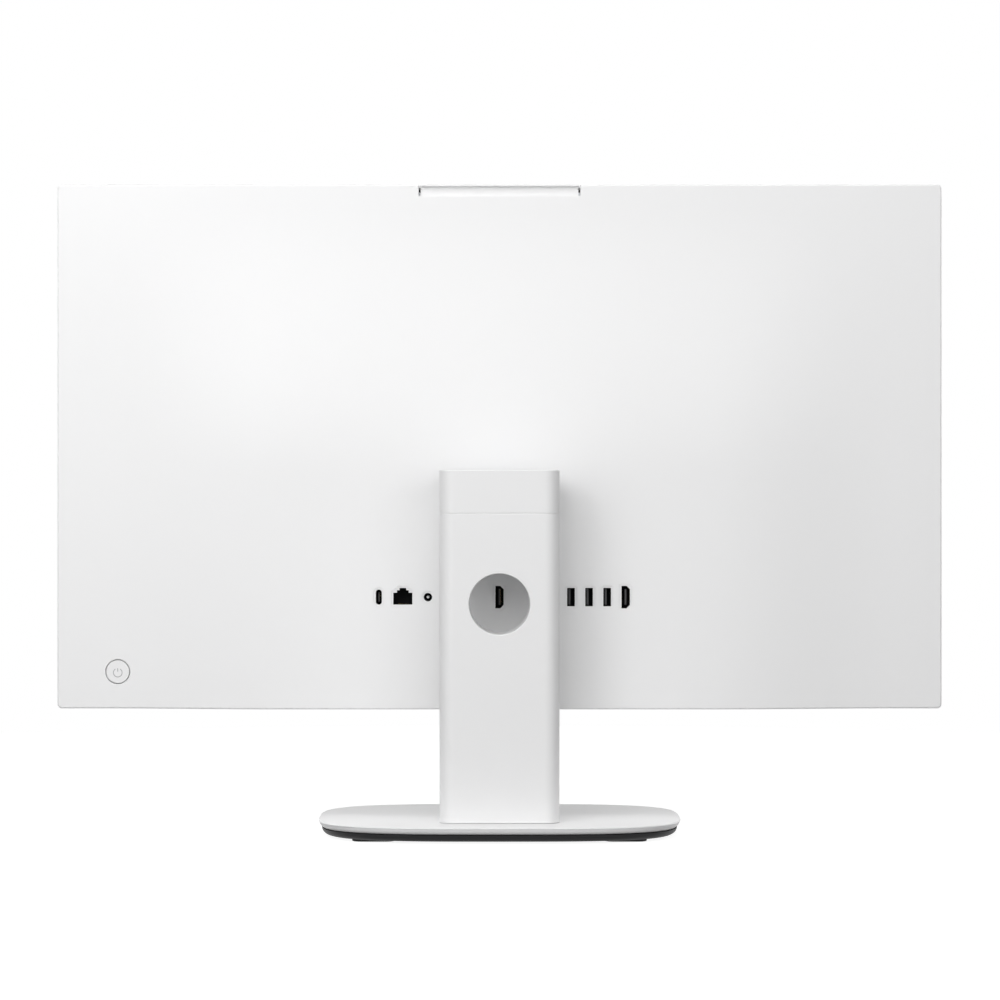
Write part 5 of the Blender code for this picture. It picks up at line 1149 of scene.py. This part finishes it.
def build_base():
    """White cover and black plate of the base."""
    sections = []
    bottom = BASE_LOW.z - BASE_SKIRT
    for inset, drop in reversed(rounding(1.0, CORNER_STEPS)):
        sections.append((base_outline(BASE_TAPER + BASE_TUCK * inset), bottom + BASE_TUCK_RISE * drop))
    for inset, drop in rounding(BASE_ROUND):
        sections.append((base_outline(inset), BASE_HIGH.z - drop))
    cover = new_object("base_top", loft(sections, "Z"))
    window_x = (CORE_LOW.x - SEAT_GAP, CORE_HIGH.x + SEAT_GAP)
    window_y = (CORE_LOW.y - SEAT_GAP, CORE_HIGH.y + SEAT_GAP)
    cut(cover, block(window_x, window_y, (bottom - OVERRUN, BASE_HIGH.z + OVERRUN)))
    finished(cover, "stand", ["base_cover"], [WHITE_BASE])

    sections = []
    thick = PLATE_HIGH.z - BASE_SKIRT - PLATE_LOW.z
    for inward, upward in reversed(rounding(1.0, CORNER_STEPS)):
        sections.append((base_outline(PLATE_INSET + PLATE_SWEEP * inward), PLATE_LOW.z + thick * upward))
    plate = new_object("base_bottom", loft(sections, "Z"))
    centre = (0.0, COLUMN_MIDDLE)
    head = (SCREW_HIGH.x - SCREW_LOW.x) / 2 + SEAT_GAP
    well = [(PLATE_LOW.z - OVERRUN, head), (PLATE_LOW.z + SCREW_WELL_DEPTH, head)]
    cut(plate, turned(well, "Z", centre, SCREW_WELL_STEPS))
    hole = [(PLATE_LOW.z, SCREW_HOLE_RADIUS), (PLATE_HIGH.z + OVERRUN, SCREW_HOLE_RADIUS)]
    cut(plate, turned(hole, "Z", centre, SCREW_HOLE_STEPS))
    finished(plate, "stand", ["base_plate"], [BLACK_PAINT])


def dress_solids():
    """Finishes for the solids that stay in view."""
    finishes = {
        "foot_": BLACK_RUBBER, "clamp_screw": STEEL, "column_core": STEEL, "hinge_": STEEL,
        "friction_washer": NICKEL, "tilt_arm": ALUMINIUM, "stand_bracket": STEEL, "arm_screw": STEEL,
        "backlight_tray": TRAY_METAL, "chassis_plate": STEEL, "mainboard": GREEN_BOARD,
        "memory_socket": BLACK_PLASTIC, "memory_module": GREEN_BOARD, "storage_module": GREEN_BOARD,
        "wireless_card": GREEN_BOARD, "processor": SILICON, "cold_plate": COPPER, "heat_sink": ALUMINIUM,
        "heat_pipe": COPPER, "fan_housing": BLACK_PLASTIC, "fan_cover": STEEL, "fan_rotor": BLACK_PLASTIC,
        "speaker_": BLACK_PLASTIC, "camera_rail": BLACK_PLASTIC, "power_switch": GREEN_BOARD,
    }
    for name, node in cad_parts.items():
        if node.hide_render:
            continue
        for start, finish in finishes.items():
            if name.startswith(start):
                node.data.materials.clear()
                node.data.materials.append(finish)


def by_ray(tree, lighting, seen):
    """One shader for the rays that light the object, and another for those that see the backdrop."""
    path = tree.nodes.new("ShaderNodeLightPath")
    direct = math_node(tree, "MAXIMUM", path.outputs["Is Camera Ray"], path.outputs["Is Glossy Ray"])
    share = math_node(tree, "MAXIMUM", direct, path.outputs["Is Transmission Ray"])
    mix = tree.nodes.new("ShaderNodeMixShader")
    tree.links.new(share, mix.inputs[0])
    tree.links.new(lighting.outputs[0], mix.inputs[1])
    tree.links.new(seen.outputs[0], mix.inputs[2])
    return mix.outputs[0]


def build_stage():
    """White world, and a pale floor that keeps a soft shadow."""
    world = bpy.data.worlds.new("studio")
    bpy.context.scene.world = world
    world.use_nodes = True
    tree = world.node_tree
    tree.nodes.clear()
    white = tree.nodes.new("ShaderNodeBackground")
    white.inputs["Color"].default_value = WHITE
    ambient = tree.nodes.new("ShaderNodeBackground")
    ambient.inputs["Color"].default_value = WHITE
    ambient.inputs["Strength"].default_value = AMBIENT
    output = tree.nodes.new("ShaderNodeOutputWorld")
    tree.links.new(by_ray(tree, ambient, white), output.inputs["Surface"])

    disc = [(-FLOOR_THICK, FLOOR_RADIUS), (-FLOOR_DROP, FLOOR_RADIUS)]
    floor = new_object("floor", turned(disc, "Z", (0.0, 0.0)))
    material = bpy.data.materials.new("pale_floor")
    material.use_nodes = True
    tree = material.node_tree
    tree.nodes.clear()
    matte = tree.nodes.new("ShaderNodeBsdfDiffuse")
    matte.inputs["Color"].default_value = FLOOR_GREY
    glow = tree.nodes.new("ShaderNodeEmission")
    glow.inputs["Strength"].default_value = FLOOR_GLOW
    both = tree.nodes.new("ShaderNodeAddShader")
    tree.links.new(matte.outputs[0], both.inputs[0])
    tree.links.new(glow.outputs[0], both.inputs[1])
    output = tree.nodes.new("ShaderNodeOutputMaterial")
    tree.links.new(by_ray(tree, matte, both), output.inputs["Surface"])
    floor.data.materials.append(material)


def build_lamps():
    """Soft studio lamps."""
    for name, place, target, size, power in LAMPS:
        lamp = bpy.data.lights.new(name, "AREA")
        lamp.shape = "DISK"
        lamp.size = size
        lamp.energy = power
        holder = bpy.data.objects.new(name, lamp)
        bpy.context.scene.collection.objects.link(holder)
        holder.location = place
        direction = Vector(target) - Vector(place)
        holder.rotation_euler = direction.to_track_quat("-Z", "Y").to_euler()


def build_view():
    """Camera at the photograph's viewing angle, level and square to the back."""
    camera = bpy.data.cameras.new("view")
    camera.lens = CAMERA_LENS
    camera.sensor_width = CAMERA_SENSOR
    camera.clip_end = CAMERA_REACH
    holder = bpy.data.objects.new("view", camera)
    bpy.context.scene.collection.objects.link(holder)
    holder.location = CAMERA_PLACE
    holder.rotation_euler = CAMERA_TURN
    bpy.context.scene.camera = holder
    bpy.context.scene.view_settings.view_transform = "Standard"


build_rear_cover()
build_bezel()
build_screen()
build_pull_camera()
build_camera_window()
build_button()
build_ports()
build_column()
build_base()
dress_solids()
build_stage()
build_lamps()
build_view()
